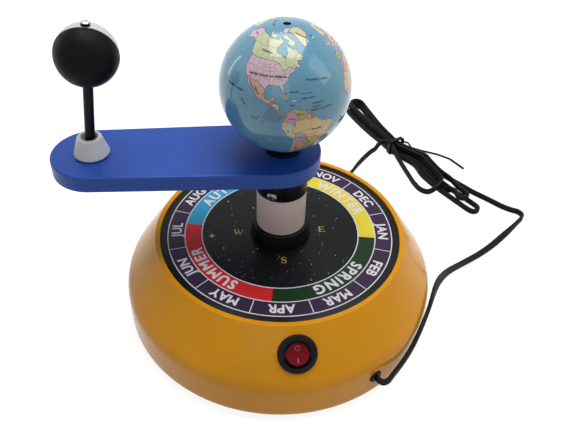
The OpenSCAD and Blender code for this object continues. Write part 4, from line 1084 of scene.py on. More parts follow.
# Strokes of the compass letters: x and y of both ends, and the width at each
COMPASS = {
    "E": (
        (0.26, 0, 0.26, 1, THICK, THICK), (0.1, 0.97, 0.86, 0.97, THIN, THIN),
        (0.1, 0.03, 0.9, 0.03, THIN, THIN), (0.3, 0.52, 0.66, 0.52, THIN, THIN),
        (0.85, 1, 0.85, 0.78, THIN, POINTED), (0.89, 0, 0.89, 0.24, THIN, POINTED),
        (0.66, 0.64, 0.66, 0.4, THIN, THIN),
    ),
    "N": (
        (0.16, 0, 0.16, 1, THIN, THIN), (0.86, 0, 0.86, 1, THIN, THIN),
        (0.14, 1, 0.86, 0, THICK, THICK), (0, 0.97, 0.26, 0.97, THIN, THIN),
        (0, 0.03, 0.32, 0.03, THIN, THIN), (0.7, 0.97, 1.02, 0.97, THIN, THIN),
    ),
    "W": (
        (0, 0.96, 0.26, 0, THICK, THICK), (0.26, 0, 0.5, 0.9, THIN, THIN),
        (0.44, 0.96, 0.72, 0, THICK, THICK), (0.72, 0, 1, 0.96, THIN, THIN),
        (-0.14, 0.97, 0.18, 0.97, THIN, THIN), (0.34, 0.97, 0.6, 0.97, THIN, THIN),
        (0.86, 0.97, 1.14, 0.97, THIN, THIN),
    ),
    "S": (
        (0.76, 0.98, 0.76, 0.72, THIN, THIN), (0.24, 0.02, 0.24, 0.28, THIN, THIN),
    ),
}


def sector(r0, r1, start, end, z, step=1.5):
    """A flat piece of a ring: points (r cos a, r sin a, z), the angle from start to end in degrees."""
    count = max(2, int(abs(end - start) / step) + 1)
    a = np.radians(np.linspace(start, end, count))
    inner = np.stack([r0 * np.cos(a), r0 * np.sin(a), np.full(count, z)], axis=-1)
    outer = np.stack([r1 * np.cos(a), r1 * np.sin(a), np.full(count, z)], axis=-1)
    i = np.arange(count - 1)
    faces = np.stack([i, i + count, i + count + 1, i + 1], axis=-1)
    if end < start:
        faces = faces[:, ::-1]
    return np.concatenate([inner, outer]), faces


class Print:
    """Collects flat printed shapes and makes them one piece with a material for each colour."""

    def __init__(self):
        self.points, self.faces, self.tones, self.count = [], [], [], 0

    def add(self, points, faces, tone):
        """Adds a shape; the tone is the name of the ink that it is printed in."""
        self.points.append(np.asarray(points, dtype=float))
        self.faces += [[int(v) + self.count for v in face] for face in faces]
        self.tones += [tone] * len(faces)
        self.count += len(points)

    def build(self, name, inks):
        """One object of all the shapes, with the materials of the inks in their order."""
        order = list(inks)
        mesh = bpy.data.meshes.new(name)
        mesh.from_pydata(np.concatenate(self.points).tolist(), [], self.faces)
        for tone in order:
            mesh.materials.append(inks[tone])
        mesh.polygons.foreach_set("material_index", [order.index(tone) for tone in self.tones])
        mesh.update()
        obj = bpy.data.objects.new(name, mesh)
        bpy.context.scene.collection.objects.link(obj)
        return obj


def text_shape(words, height, bold=0.0, spacing=1.0, copies=8, detail=3):
    """Points (n, 3) and faces of words in capitals of that height, centred on x, standing on y = 0.

    Bold words are copies moved by that distance round a circle, (bold cos t, bold sin t), each a layer
    above the last.
    """
    curve = bpy.data.curves.new("words", "FONT")
    curve.body = words
    curve.size = 1
    curve.align_x = "CENTER"
    curve.space_character = spacing
    curve.resolution_u = detail
    holder = bpy.data.objects.new("words", curve)
    bpy.context.scene.collection.objects.link(holder)
    shown = holder.evaluated_get(bpy.context.evaluated_depsgraph_get())
    mesh = bpy.data.meshes.new_from_object(shown)
    co = np.empty(len(mesh.vertices) * 3)
    mesh.vertices.foreach_get("co", co)
    faces = [list(p.vertices) for p in mesh.polygons]
    bpy.data.objects.remove(holder)
    bpy.data.curves.remove(curve)
    bpy.data.meshes.remove(mesh)
    flat = co.reshape(-1, 3)[:, :2] * ((height - 2 * bold) / CAPITAL) + [0, bold]
    count = len(flat)
    turns = np.arange(copies) * TAU / copies if bold else []
    shifts = [(0, 0)] + [(bold * math.cos(t), bold * math.sin(t)) for t in turns]
    layers = [
        np.column_stack([flat + shift, np.full(count, k * LAYER)]) for k, shift in enumerate(shifts)
    ]
    faces = [[v + k * count for v in face] for k in range(len(layers)) for face in faces]
    return np.concatenate(layers), faces


def on_arc(flat, centre, baseline, height, z):
    """Letters bent clockwise round the axis, tops outward: a = centre - x / r, radius = baseline + y."""
    middle = baseline + height / 2
    a = math.radians(centre) - flat[:, 0] / middle
    r = baseline + flat[:, 1]
    return np.stack([r * np.cos(a), r * np.sin(a), z + flat[:, 2]], axis=-1)


def star(x, y, z, size, points=4, waist=0.16, turn=0.0):
    """A flat star: radius size at its tips and size times waist between them."""
    a = turn + np.arange(2 * points) * math.pi / points
    r = np.where(np.arange(2 * points) % 2 == 0, size, size * waist)
    ring = np.stack([x + r * np.cos(a), y + r * np.sin(a), np.full(len(a), z)], axis=-1)
    return np.concatenate([[[x, y, z]], ring]), [[0, i + 1, (i + 1) % len(a) + 1] for i in range(len(a))]


def pen(points, widths):
    """A flat stroke along points (n, 2): its sides are half the width to each side of the line."""
    way = np.gradient(points, axis=0)
    way /= np.linalg.norm(way, axis=1)[:, None]
    side = np.stack([-way[:, 1], way[:, 0]], axis=-1) * widths[:, None] / 2
    count = len(points)
    i = np.arange(count - 1)
    faces = np.stack([i, i + 1, i + 1 + count, i + count], axis=-1)
    return np.concatenate([points - side, points + side]), faces.tolist()


def letter_s():
    """The middle line of a compass S, two arcs of 0.26 that meet in the middle, and its widths.

    The width at point i falls off from the middle: 0.06 + 0.12 exp(-((i - 12.5) / 5)^2).
    """
    upper = arc(0.5, 0.74, 0.26, 20, 250, 12)
    lower = arc(0.5, 0.24, 0.26, 70, -160, 12)
    line = np.concatenate([upper, lower])
    return line, THIN + 0.12 * np.exp(-((np.arange(len(line)) - 12.5) / 5) ** 2)


def strokes(letter):
    """The strokes of a compass letter in a square of 1, each as its points (n, 2) and its widths."""
    made = [letter_s()] if letter == "S" else []
    for x0, y0, x1, y1, start, end in COMPASS[letter]:
        made.append((np.array([(x0, y0), (x1, y1)], dtype=float), np.array([start, end])))
    return made


def dial_night():
    """Black print with a faint brown and blue haze."""
    f = Finish("night print").set(Specular_IOR_Level=0.12, Roughness=0.3)
    f.link(
        f.ramp(f.noise(26, 8, 0.62), [
            (0.35, (0.004, 0.004, 0.005)), (0.6, (0.007, 0.008, 0.010)), (0.8, (0.024, 0.018, 0.018)),
        ]),
        f.surface.inputs["Base Color"],
    )
    return f.material


def ink(name, colour, roughness=0.3, coat=0.0):
    """Printed ink with a slightly uneven depth, under a clear coat where the piece is varnished."""
    f = Finish(name).set(
        Coat_Weight=coat, Coat_Roughness=0.085, Specular_IOR_Level=0.12, Roughness=roughness,
    )
    f.tint(f.noise(90, 4), colour, 0.05)
    return f.material


def print_rings(sheet, r, ground, lines, words):
    """Months and seasons in their rings, at the heights of the ground, the lines and the words."""
    inner, middle, outer = (r * part for part in RINGS)
    for k, month in enumerate(MONTHS):
        start = MONTH_START + 30 * k
        sheet.add(*sector(middle, outer, start, start + 30, ground), "months")
        a = math.radians(start)
        across = np.array([-math.sin(a), math.cos(a)]) * HALF_LINE * 0.8
        way = np.array([math.cos(a), math.sin(a)])
        corners = (
            way * middle - across, way * outer - across, way * outer + across, way * middle + across,
        )
        sheet.add([[*c, lines] for c in corners], [[0, 1, 2, 3]], "white")
        flat, faces = text_shape(month, MONTH_H, MONTH_BOLD, spacing=1.04)
        centre = MONTH_START + 15 - 30 * k
        sheet.add(on_arc(flat, centre, middle + MONTH_FOOT, MONTH_H, words), faces, "white")
    for name, centre, _ in SEASONS:
        sheet.add(*sector(inner, middle, centre - 45, centre + 45, ground), name)
        flat, faces = text_shape(name, SEASON_H, SEASON_BOLD, spacing=1.2)
        sheet.add(on_arc(flat, centre, inner + SEASON_FOOT, SEASON_H, words), faces, "white")
    for radius in (inner, middle, outer):
        sheet.add(*sector(radius - HALF_LINE, radius + HALF_LINE, 0, 360, lines), "white")


def print_compass(sheet, r, z):
    """The four letters round the middle, each upright to the front of the dial."""
    for letter, az in zip("ENWS", (0, 90, 180, -90)):
        a = math.radians(az)
        spot = np.array([COMPASS_AT * r * math.cos(a), COMPASS_AT * r * math.sin(a)])
        for line, widths in strokes(letter):
            points, faces = pen(line, widths)
            flat = (points - [0.5, 0.5]) * COMPASS_H + spot
            sheet.add(np.column_stack([flat, np.full(len(flat), z)]), faces, "gold")


def print_stars(sheet, r, low, high, top):
    """Stars evenly over the night's area, rho = r sqrt(chance), and the bright one above them."""
    chance = np.random.default_rng(7)
    for _ in range(STARS):
        rho = math.sqrt(chance.uniform(0.08, 0.405)) * r
        a = chance.uniform(0, TAU)
        size = chance.choice([0.15, 0.27, 0.42, 0.6], p=[0.5, 0.27, 0.15, 0.08]) * MM
        tone = chance.choice(["white", "warm", "cool"], p=[0.6, 0.2, 0.2])
        x, y = rho * math.cos(a), rho * math.sin(a)
        sheet.add(*star(x, y, low, size, waist=0.55, turn=a), tone)
    x, y = BRIGHT_AT * r * math.cos(BRIGHT_AZ), BRIGHT_AT * r * math.sin(BRIGHT_AZ)
    sheet.add(*star(x, y, low, 1.7 * MM, points=12, waist=0.9), "glow")
    sheet.add(*star(x, y, high, 3 * MM, points=4, waist=0.14), "cool")
    sheet.add(*star(x, y, top, 1 * MM, points=8, waist=0.8), "white")


class DEMO_OT_dial(bpy.types.Operator):
    """Builds the dial's disc with its months, seasons, compass letters and stars"""

    bl_idname = "moon_demo.dial"
    bl_label = "Dial"

    def execute(self, context):
        make_materials()
        s = sizes()
        bevel = 0.15 * MM
        disc = lathe("dial_plate", outline(
            [[SOCKET_HOLE_R, DIAL_Z], [SOCKET_HOLE_R, DECK_TOP], [s.dial_r, DECK_TOP]],
            arc(s.dial_r - bevel, DIAL_Z - bevel, bevel, 0, 90, 4),
            [[SOCKET_HOLE_R, DIAL_Z]],
        ), 256)
        finish_piece(disc, "base", dial_night())
        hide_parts("dial_disc")

        ground = DIAL_Z + s.print_lift
        lines = ground + s.print_lift
        words = lines + s.print_lift
        sheet = Print()
        print_rings(sheet, s.dial_r, ground, lines, words)
        print_compass(sheet, s.dial_r, words)
        print_stars(sheet, s.dial_r, lines, words, words + s.print_lift)
        inks = {
            "months": ink("month ground", colours().months),
            "white": ink("white print", (0.66, 0.64, 0.66)),
            "gold": ink("gold print", (0.55, 0.42, 0.10)),
            "warm": ink("warm stars", (0.6, 0.42, 0.25)),
            "cool": ink("cool stars", (0.55, 0.56, 0.8)),
            "glow": ink("star glow", (0.06, 0.05, 0.11)),
        }
        inks.update({name: ink(name.lower() + " print", colour) for name, _, colour in SEASONS})
        face = sheet.build("dial_print", inks)
        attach(face, "base")
        return {"FINISHED"}


# Globe

PALETTE = {
    "pink": (0.56, 0.39, 0.45), "sand": (0.56, 0.46, 0.26), "lime": (0.47, 0.51, 0.30),
    "salmon": (0.56, 0.31, 0.23), "lilac": (0.40, 0.31, 0.44), "olive": (0.38, 0.35, 0.08),
    "mint": (0.34, 0.46, 0.30), "rose": (0.52, 0.24, 0.32), "ice": (0.50, 0.50, 0.48),
    "brick": (0.52, 0.16, 0.10), "amber": (0.66, 0.44, 0.18),
}
# Ink and outline of each land, as longitudes and latitudes in degrees
LANDS = (
    ("lime", (
        "-141 60 -141 70 -128 70 -115 68 -108 68 -95 68 -94 72 -88 68 -82 67 -86 65 -93 61 -94 58 "
        "-92 57 -85 55 -82 53 -79 52 -79 54 -77 56 -78 59 -78 62 -74 62 -70 60 -66 59 -64 60 -62 57 "
        "-58 54 -56 52 -60 50 -66 50 -64 49 -65 47 -61 46 -66 44 -67 45 -69 47 -71 45 -75 45 -79 43 "
        "-83 42 -84 46 -89 48 -95 49 -123 49 -128 51 -131 55 -135 59"
    )),
    ("pink", (
        "-124 48 -123 49 -95 49 -89 48 -86 47 -84 46 -83 42 -79 43 -75 45 -71 45 -69 47 -67 45 -70 43 "
        "-70 42 -74 40 -76 37 -76 35 -81 31 -80 27 -80.5 25 -82 27 -84 30 -89 30 -94 30 -97 26 -99 27 "
        "-103 29 -106 31 -111 31 -114 33 -117 32 -121 35 -124 40"
    )),
    ("pink", (
        "-141 60 -141 70 -150 71 -157 71 -166 68 -162 66 -168 65 -165 60 -158 58 -163 55 -154 58 "
        "-150 60 -145 60"
    )),
    ("salmon", (
        "-117 32 -114 33 -111 31 -106 31 -103 29 -99 27 -97 26 -98 22 -96 19 -94 18 -91 19 -90 21 "
        "-87 21 -88 18 -91 18 -92 15 -96 16 -102 18 -105 20 -106 23 -109 26 -112 29 -114.5 31.5 "
        "-112 27.5 -109.5 23 -112 25 -115 28"
    )),
    ("brick", "-92 15 -91 18 -89 18 -88.5 16 -89.5 14 -91 14"),
    ("lime", "-88.5 16 -83.5 15 -86 13.5 -88 13 -89.5 14"),
    ("amber", "-86 13.5 -83.5 15 -83.8 11 -85.8 11 -87.5 13"),
    ("olive", "-85.8 11 -83.8 11 -82 9 -77 8.2 -78 7 -80 7.3 -83 8.2"),
    ("sand", (
        "-73 78 -60 82 -32 83 -18 80 -20 75 -24 71 -32 68 -40 65 -44 60 -50 62 -53 67 -55 70 -60 75.5"
    )),
    ("lime", "-62 66 -66 62 -72 63 -78 65 -74 68 -84 70 -90 73 -80 74 -72 71 -66 68"),
    ("ice", "-90 76 -78 77 -64 81 -66 83 -85 82 -95 80"),
    ("lime", "-117 70 -105 69 -101 72 -110 73 -118 72"),
    ("ice", "-124 72 -119 71.5 -116 73 -120 75 -125 74"),
    ("ice", "-104 75 -96 75 -95 77 -102 77"),
    ("salmon", "-85 22 -82 23.2 -77 21 -74 20 -78 19.8 -81 21.8"),
    ("mint", "-74.5 18.3 -73 19.9 -69 19.3 -68.5 18.3 -71 17.8"),
    ("amber", "-78.3 18.3 -76.3 18.1 -76.5 17.8 -78 17.8"),
    ("rose", "-67.2 18.5 -65.7 18.4 -65.8 18 -67 18"),
    ("olive", "-78.5 26.8 -77.2 26.6 -77.9 25 -77.5 23.8 -78.4 24.8"),
    ("rose", "-77 8.2 -75 10.5 -72 12 -71.5 9 -67.5 6 -67.5 2 -70 1 -70 -4 -75 0 -79 1.5 -77.5 5"),
    ("olive", "-72 12 -70 12 -66 10.5 -62 10.5 -60 8 -61 4.5 -64 2 -67.5 2 -67.5 6 -71.5 9"),
    ("salmon", "-60 8 -57 6 -56 2 -60 1.5 -61 4.5"),
    ("brick", "-57 6 -54 5.5 -54.5 2.3 -56 2"),
    ("salmon", "-54 5.5 -51.8 4.2 -53 2.2 -54.5 2.3"),
    ("amber", "-79 1.5 -75 0 -78 -4 -80.5 -4 -81 -1"),
    ("lime", (
        "-80.5 -4 -78 -4 -75 0 -70 -4 -73 -8 -70.5 -11 -69 -13 -69 -17 -70.5 -18.3 -76 -14 -79 -8 "
        "-81.3 -5"
    )),
    ("amber", (
        "-70 1 -67.5 2 -64 2 -61 4.5 -60 1.5 -56 2 -52 3 -51.5 4 -50 0 -44 -2.5 -39 -3.5 -35 -6 -35 -9 "
        "-39 -14 -40 -20 -44 -23 -48 -26 -50 -30 -53.5 -33.5 -57.5 -30 -54 -26 -54.5 -24 -58 -20 "
        "-58 -17 -60 -16 -60 -13.5 -65 -11 -70.5 -11 -73 -8 -70 -4"
    )),
    ("lilac", (
        "-69 -13 -70.5 -11 -65 -11 -60 -13.5 -60 -16 -58 -17 -58 -20 -62.5 -22 -66 -22 -68 -21.5 "
        "-69 -17"
    )),
    ("olive", "-58 -20 -54.5 -24 -56 -27.3 -58.5 -27 -62.5 -22"),
    ("lime", "-57.5 -30 -53.5 -33.5 -56 -35 -58.3 -34"),
    ("salmon", (
        "-66 -22 -62.5 -22 -58.5 -27 -56 -27.3 -54 -26 -57.5 -30 -58.3 -34 -57 -36.5 -62 -39 -65 -42 "
        "-66 -46 -68.5 -51 -68.5 -54.8 -71 -53 -73 -50 -71 -44 -71 -38 -70 -33 -68 -27 -68 -21.5"
    )),
    ("sand", (
        "-70.5 -18.3 -69 -17 -68 -21.5 -68 -27 -70 -33 -71 -38 -71 -44 -73 -50 -71 -53 -68.5 -54.8 "
        "-72 -54 -75.5 -49 -73 -42 -73 -37 -71.5 -30 -70.5 -25"
    )),
    ("mint", "-24 65.5 -22 66.4 -14.5 66 -14 64.7 -19 63.4 -22.7 63.9"),
    ("pink", "-5.5 50 1 51 1.5 52.8 -2 55.5 -2 57.7 -5 58.5 -5.5 56 -3 54.5 -4.8 53"),
    ("lime", "-10 52 -6.3 52.3 -6 54.5 -8 55.2 -10 54"),
    ("sand", (
        "5 58.5 5 62 12 66 18 69.5 26 71 31 70 28 68.5 24 66 21 64 17 61 18.5 60 16 57 14 55.5 12 57.5 "
        "10.5 59 8 58"
    )),
    ("mint", "28 68.5 31 63 28 60.5 22 60.3 21 63 25 65.5 24 66"),
    ("olive", "-9 43 -2 43.3 3 42.3 0 40 0 38.5 -2 36.8 -6 36.2 -9 37 -9.3 39"),
    ("lilac", "-2 43.3 -1 46 -4.5 48.3 -1.5 48.7 2.5 51 6 49.5 8 48.8 7 46 7.5 44 3 43.3 3 42.3"),
    ("salmon", "2.5 51 7 53.5 9 54.8 14 54 15 51 12.5 50 17 48.5 16 46.8 10 46.8 7 46 8 48.8 6 49.5"),
    ("lime", (
        "7 46 10 46.8 13.5 46.3 12.5 44.3 16 41.5 18.5 40 16.5 39.5 15.8 38 16 40 12 42 8.5 44.3 7.5 44"
    )),
    ("amber", "14 54 19 54.5 21 56 24 59 28 59.5 31 55 31 52 24 51 18 49.5 12.5 50 15 51"),
    ("rose", "16 46.8 17 48.5 24 48.5 28 46 28.5 44 28 41.5 23.5 40 22.5 36.8 20 40 13.5 45.5"),
    ("sand", "24 51 31 52 35 51 40 49.5 38 47 33 46 30 46 28 46 24 48.5 18 49.5"),
    ("lime", (
        "28 59.5 28 60.5 31 63 28 68.5 31 70 41 66.5 44 68.5 55 68.5 60 69 68 69 68 72 73 72 80 73 "
        "100 76.5 113 74 130 71.5 140 73 160 70 178 69 180 66 178 62.5 170 60 163 58 157 51.5 156 57 "
        "161 61 155 59.5 142 59 136 54.5 141 52 138 46 132 43 131 48 125 53 120 52.5 118 49.7 108 49.5 "
        "98 51 87 49.3 80 51 70 55 61 54 55 51 49 50 48 46 47 42 38 44.5 38 47 40 49.5 35 51 31 52 "
        "31 55"
    )),
    ("amber", (
        "48 46 49 50 55 51 61 54 70 55 80 51 87 49.3 82 45 80 42.5 70 42 66 42 61 44 56 41.5 53 42 "
        "51 45"
    )),
    ("lilac", "53 42 56 41.5 61 44 66 42 70 42 80 42.5 74 39 71 37 66 37 61 35.5 54 37.3"),
    ("mint", "26 40 28 41.5 35 42 41 41.5 38 44.5 47 42 49.5 40 48.5 38.5 44.5 37 36 36.5 30 36.3 27 37"),
    ("rose", "36 36.5 44.5 37 46 33 48 30 44 29 39 32 35 29.5 34.3 31.3"),
    ("sand", (
        "35 29.5 39 32 44 29 48 30 48.5 28.5 50.5 26 51.5 24.3 56 26 59.5 22.5 57 19 52 16 45 12.8 "
        "43 13 42.5 17 39 21"
    )),
    ("salmon", (
        "44.5 37 48.5 38.5 49 37.5 54 37.3 61 35.5 61 31 61.5 25 57 27 52 27.5 48.5 30.3 48 30 46 33"
    )),
    ("lime", "61 35.5 66 37 71 37 74 39 77 35.5 74 32 70 28 71 24.5 67 24.7 61.5 25 61 31"),
    ("amber", (
        "77 35.5 79 32 81 30 88 27.5 97 28 95 26 92 22 89 21.8 86 20 80.3 15 80 11 77.5 8 74.5 13 73 17 "
        "72.5 21 69 22.3 71 24.5 70 28 74 32"
    )),
    ("pink", (
        "80 42.5 82 45 87 49.3 91 45 97 42.8 105 41.6 111 44 116 47 118 49.7 120 52.5 125 53 131 48 "
        "130.7 42.3 124 40 121.5 39 118 39 122 37 119.5 35 121.5 31 120 27 116 23 110 21.3 108 21.8 "
        "102 22 98.5 24 97 28 88 27.5 81 30 79 32 77 35.5 74 39"
    )),
    ("sand", "87 49.3 98 51 108 49.5 118 49.7 116 47 111 44 105 41.6 97 42.8 91 45"),
    ("olive", "124 40 130.7 42.3 127.5 39.7 129.3 36.5 128 34.8 126.3 34.5 126.7 37.5 125 38"),
    ("rose", (
        "130 31.5 131.8 33.5 136 33.7 140 35 141 38 141.5 41.3 140 41 139 38 136.5 36.5 132 35.3 "
        "129.8 33.3"
    )),
    ("rose", "140 42 143 42 145 43.5 142 45.3"),
    ("mint", (
        "98.5 24 102 22 108 21.8 106 19 109 13 107 10.5 105 9 102.5 12 100 13.3 100 8 103.5 2 101 3 "
        "98.3 8.5 98.5 14 97 17 94.5 16 92 22 95 26 97 28"
    )),
    ("lilac", "95.3 5.5 98.5 3.5 104 -1.5 106 -5.5 104 -5.5 100 -1"),
    ("lilac", "105.3 -6.5 108.5 -6.5 114 -7.8 114.3 -8.6 106.5 -7.3"),
    ("lilac", "109 1.5 113 3.2 117 7 119 5 117.5 0.5 116 -4 110.3 -3"),
    ("lilac", "119.5 -5.5 119.3 -1 121 1 125 1.4 120.5 0.2 123 -1 121 -2 122.5 -5 120.5 -3"),
    ("salmon", "131 -1 134 -0.8 138 -1.8 145 -4.2 147.5 -6 150.5 -10.5 144 -7.7 138 -8.3 138 -5.5 133 -4"),
    ("lime", "120.5 18.5 122 18.3 122 14 124 12.5 126.3 8 125.5 6 122 7.5 122.5 10.5 120 13.8"),
    ("mint", "80 9.5 81.8 7.5 80.5 6 79.8 7.5"),
    ("pink", "49.3 -12 50.3 -15.5 47 -25 44.5 -24 44 -18"),
    ("mint", "172.7 -34.5 178.3 -37.8 175 -41.5 173.8 -39.3"),
    ("mint", "172.5 -40.8 174 -41.7 171 -45.8 167 -46 168 -44"),
    ("pink", (
        "129 -14.9 126 -14 122 -18 117 -20.7 114 -22 114 -26 115.5 -31 115.2 -34.3 118 -35 124 -33.2 "
        "129 -31.6"
    )),
    ("olive", (
        "129 -14.9 131 -12 136.5 -12 135.5 -15 138 -16.7 138 -26 141 -26 141 -38 138 -35.5 136 -34.8 "
        "131 -31.5 129 -31.6"
    )),
    ("salmon", (
        "138 -16.7 141 -17.5 141.7 -12.5 142.5 -10.8 145 -15 149 -20.5 153 -25.5 153 -31 150 -37.3 "
        "146.5 -39 141 -38 141 -26 138 -26"
    )),
    ("salmon", "144.7 -40.8 148.2 -41 147 -43.5"),
    ("rose", "-6 35.8 -2 35 -2 32 -9 28.5 -9 27 -13 27 -13 21.3 -17 21 -13 27.8 -10 30"),
    ("salmon", "-2 35 8.5 37 8 33 10 27 12 23.5 6 19.5 3 19.5 -5 25 -9 27 -9 28.5 -2 32"),
    ("pink", "8.5 37 11 37 10.5 34 15 32.3 20 30.5 20 32.5 25 31.7 25 22 24 20 16 23.3 12 23.5 10 27 8 33"),
    ("sand", "25 31.7 34.3 31.3 32.5 30 35.5 24 37 22 25 22"),
    ("lime", "25 22 37 22 38.5 18 36 13 34 10 33 4 28 4.5 23 9 22 13 24 16 24 20"),
    ("amber", "38.5 18 43 12 51 12 48 5 41.5 -2 41 4 36 4.5 33 4 34 10 36 13"),
    ("sand", "-17 21 -13 21.3 -13 27 -9 27 -5 25 3 19.5 4 16 0 14.8 -5 11 -12 12.3 -17 12.5 -17.5 15"),
    ("rose", "-17 12.5 -12 12.3 -5 11 0 14.8 2 12 1.5 6.2 -3 5 -7.5 4.5 -13 8.5"),
    ("sand", "3 19.5 6 19.5 12 23.5 16 23.3 15.5 21 13.5 14 4 13.5 2 12 0 14.8 4 16"),
    ("salmon", "2 12 4 13.5 13.5 14 12 8 9 4.7 6 4.3 1.5 6.2"),
    ("lilac", "15.5 21 16 23.3 24 20 24 16 22 13 23 9 27 5 18.5 4 15.5 8 13.5 14"),
    ("olive", "12 8 13.5 14 15.5 8 18.5 4 17 -1 13 -5 9 -1 9.7 3.5 9 4.7"),
    ("pink", "18.5 4 27 5 31 2 29.5 -4 30.5 -8.5 28.5 -12.5 24 -11 22 -8 17 -7.5 12.5 -6 13 -5 17 -1"),
    ("amber", "33 4 36 4.5 41 4 41.5 -2 39.3 -5 40.5 -10.5 34.5 -11.5 30.5 -8.5 29.5 -4 31 2"),
    ("mint", "12.5 -6 17 -7.5 22 -8 24 -11 22 -13 23.5 -17.5 12 -17.2 13.5 -12"),
    ("salmon", (
        "24 -11 28.5 -12.5 30.5 -8.5 34.5 -11.5 35.5 -16 33 -17 32.5 -21 29.5 -22 26 -20 23.5 -17.5 "
        "22 -13"
    )),
    ("lime", "34.5 -11.5 40.5 -10.5 40.5 -15 35 -20 35.5 -24 32.5 -27 31.3 -22.4 32.5 -21 33 -17 35.5 -16"),
    ("sand", "12 -17.2 23.5 -17.5 26 -20 29.5 -22 25.5 -25.5 20 -25 20 -28.5 16.5 -28.6 14.5 -23"),
    ("rose", (
        "16.5 -28.6 20 -28.5 20 -25 25.5 -25.5 29.5 -22 31.3 -22.4 32.5 -27 31 -30 27 -33.7 20 -34.8 "
        "18.3 -33.5"
    )),
    ("ice", (
        "-180 -85 -180 -78 -150 -77 -120 -74 -100 -73 -75 -73 -65 -67 -57 -63.5 -60 -74 -40 -78 -20 -74 "
        "0 -70 30 -69 60 -67.5 90 -66.5 120 -66.5 145 -67.5 165 -71 165 -78 180 -78 180 -85"
    )),
)
# Lines inside the lands
STATES = (
    "-124 42 -117 42 -117 49", "-111 49 -111 45 -104 45 -96.5 45", "-114 42 -114 33", "-117 42 -111 42",
    "-120 42 -120 39 -114.5 35", "-114 37 -94.6 37", "-109 41 -109 31", "-111 45 -111 41 -102 41 -102 37",
    "-104 49 -104 41", "-104 43 -98.5 43 -96 42.5", "-102 40 -95.3 40",
    "-97 49 -96.5 43.5 -95 40 -94.6 36.5 -94.2 33", "-103 37 -103 32 -106.5 32",
    "-100 36.5 -100 34.5 -94.4 33.5", "-94 33 -94 30", "-96.5 43.5 -91.2 43.5",
    "-92 48 -91.2 43.5 -91 40 -89 37 -91 33 -91 31 -89.7 30", "-95.7 40.6 -91.5 40.6",
    "-90.6 42.5 -87.8 42.5", "-94.6 36.5 -89.5 36.5 -81.7 36.6 -76 36.5", "-88 42 -87.6 38",
    "-84.8 41.7 -84.8 39 -89 37", "-83 41.7 -80.5 42", "-80.5 42 -80.5 40 -82.5 38.5 -83.5 36.6",
    "-88.2 35 -88.4 30.5", "-85.5 35 -85 31 -81.5 30.7", "-90 35 -83 35", "-83.2 35 -81 32",
    "-83 35 -78.5 33.9", "-80.5 39.7 -75.8 39.7", "-79.8 42 -75 42 -74.7 41", "-73.3 45 -73.5 41",
    "-71.5 45 -72.5 42.7 -70.7 42.8", "-92 46.7 -88 45.5", "-120 60 -120 54 -114 49", "-110 60 -110 49",
    "-102 60 -101.5 49", "-95 52.7 -95 49", "-136 59.8 -94.5 60", "-124 60 -130 65 -136 68.5",
    "-110 60 -117 65 -120 69", "-89 57 -95 52.7", "-79.5 51.5 -79.5 47 -74.5 45.3", "-67 55 -67 52 -57 52",
    "-67 58 -64 55 -67 52", "-109 27 -106 25 -103 26 -101 29", "-105 22 -101 22 -98 22.5",
    "-100 20 -98 18 -99 16.5", "-108 31 -108 26.5", "-66 -10 -60 -8 -57 -9 -50 -9.5 -50 -13",
    "-56 2 -57 -9", "-50 -13 -46 -12 -46 -3", "-46 -12 -42 -15 -40 -18",
    "-60 -13.5 -50 -13 -52 -18 -48 -20 -44 -22", "-42 -3 -41 -8 -46 -12", "-41 -8 -37 -8",
    "-52 -18 -54 -22 -48 -24",
)
# Lines from the names of small countries to their places
LEADERS = (
    "-97 2 -90.3 12.8", "-95.2 1.2 -88.6 12.2", "-93.2 0.6 -87 11", "-91 0.4 -85.6 9.4", "-89 0.2 -84 8",
    "-87 -0.4 -82 6.4", "-84 1 -80 6", "-117.5 14 -112.5 9.5", "-118.5 13 -113.5 8.5",
)
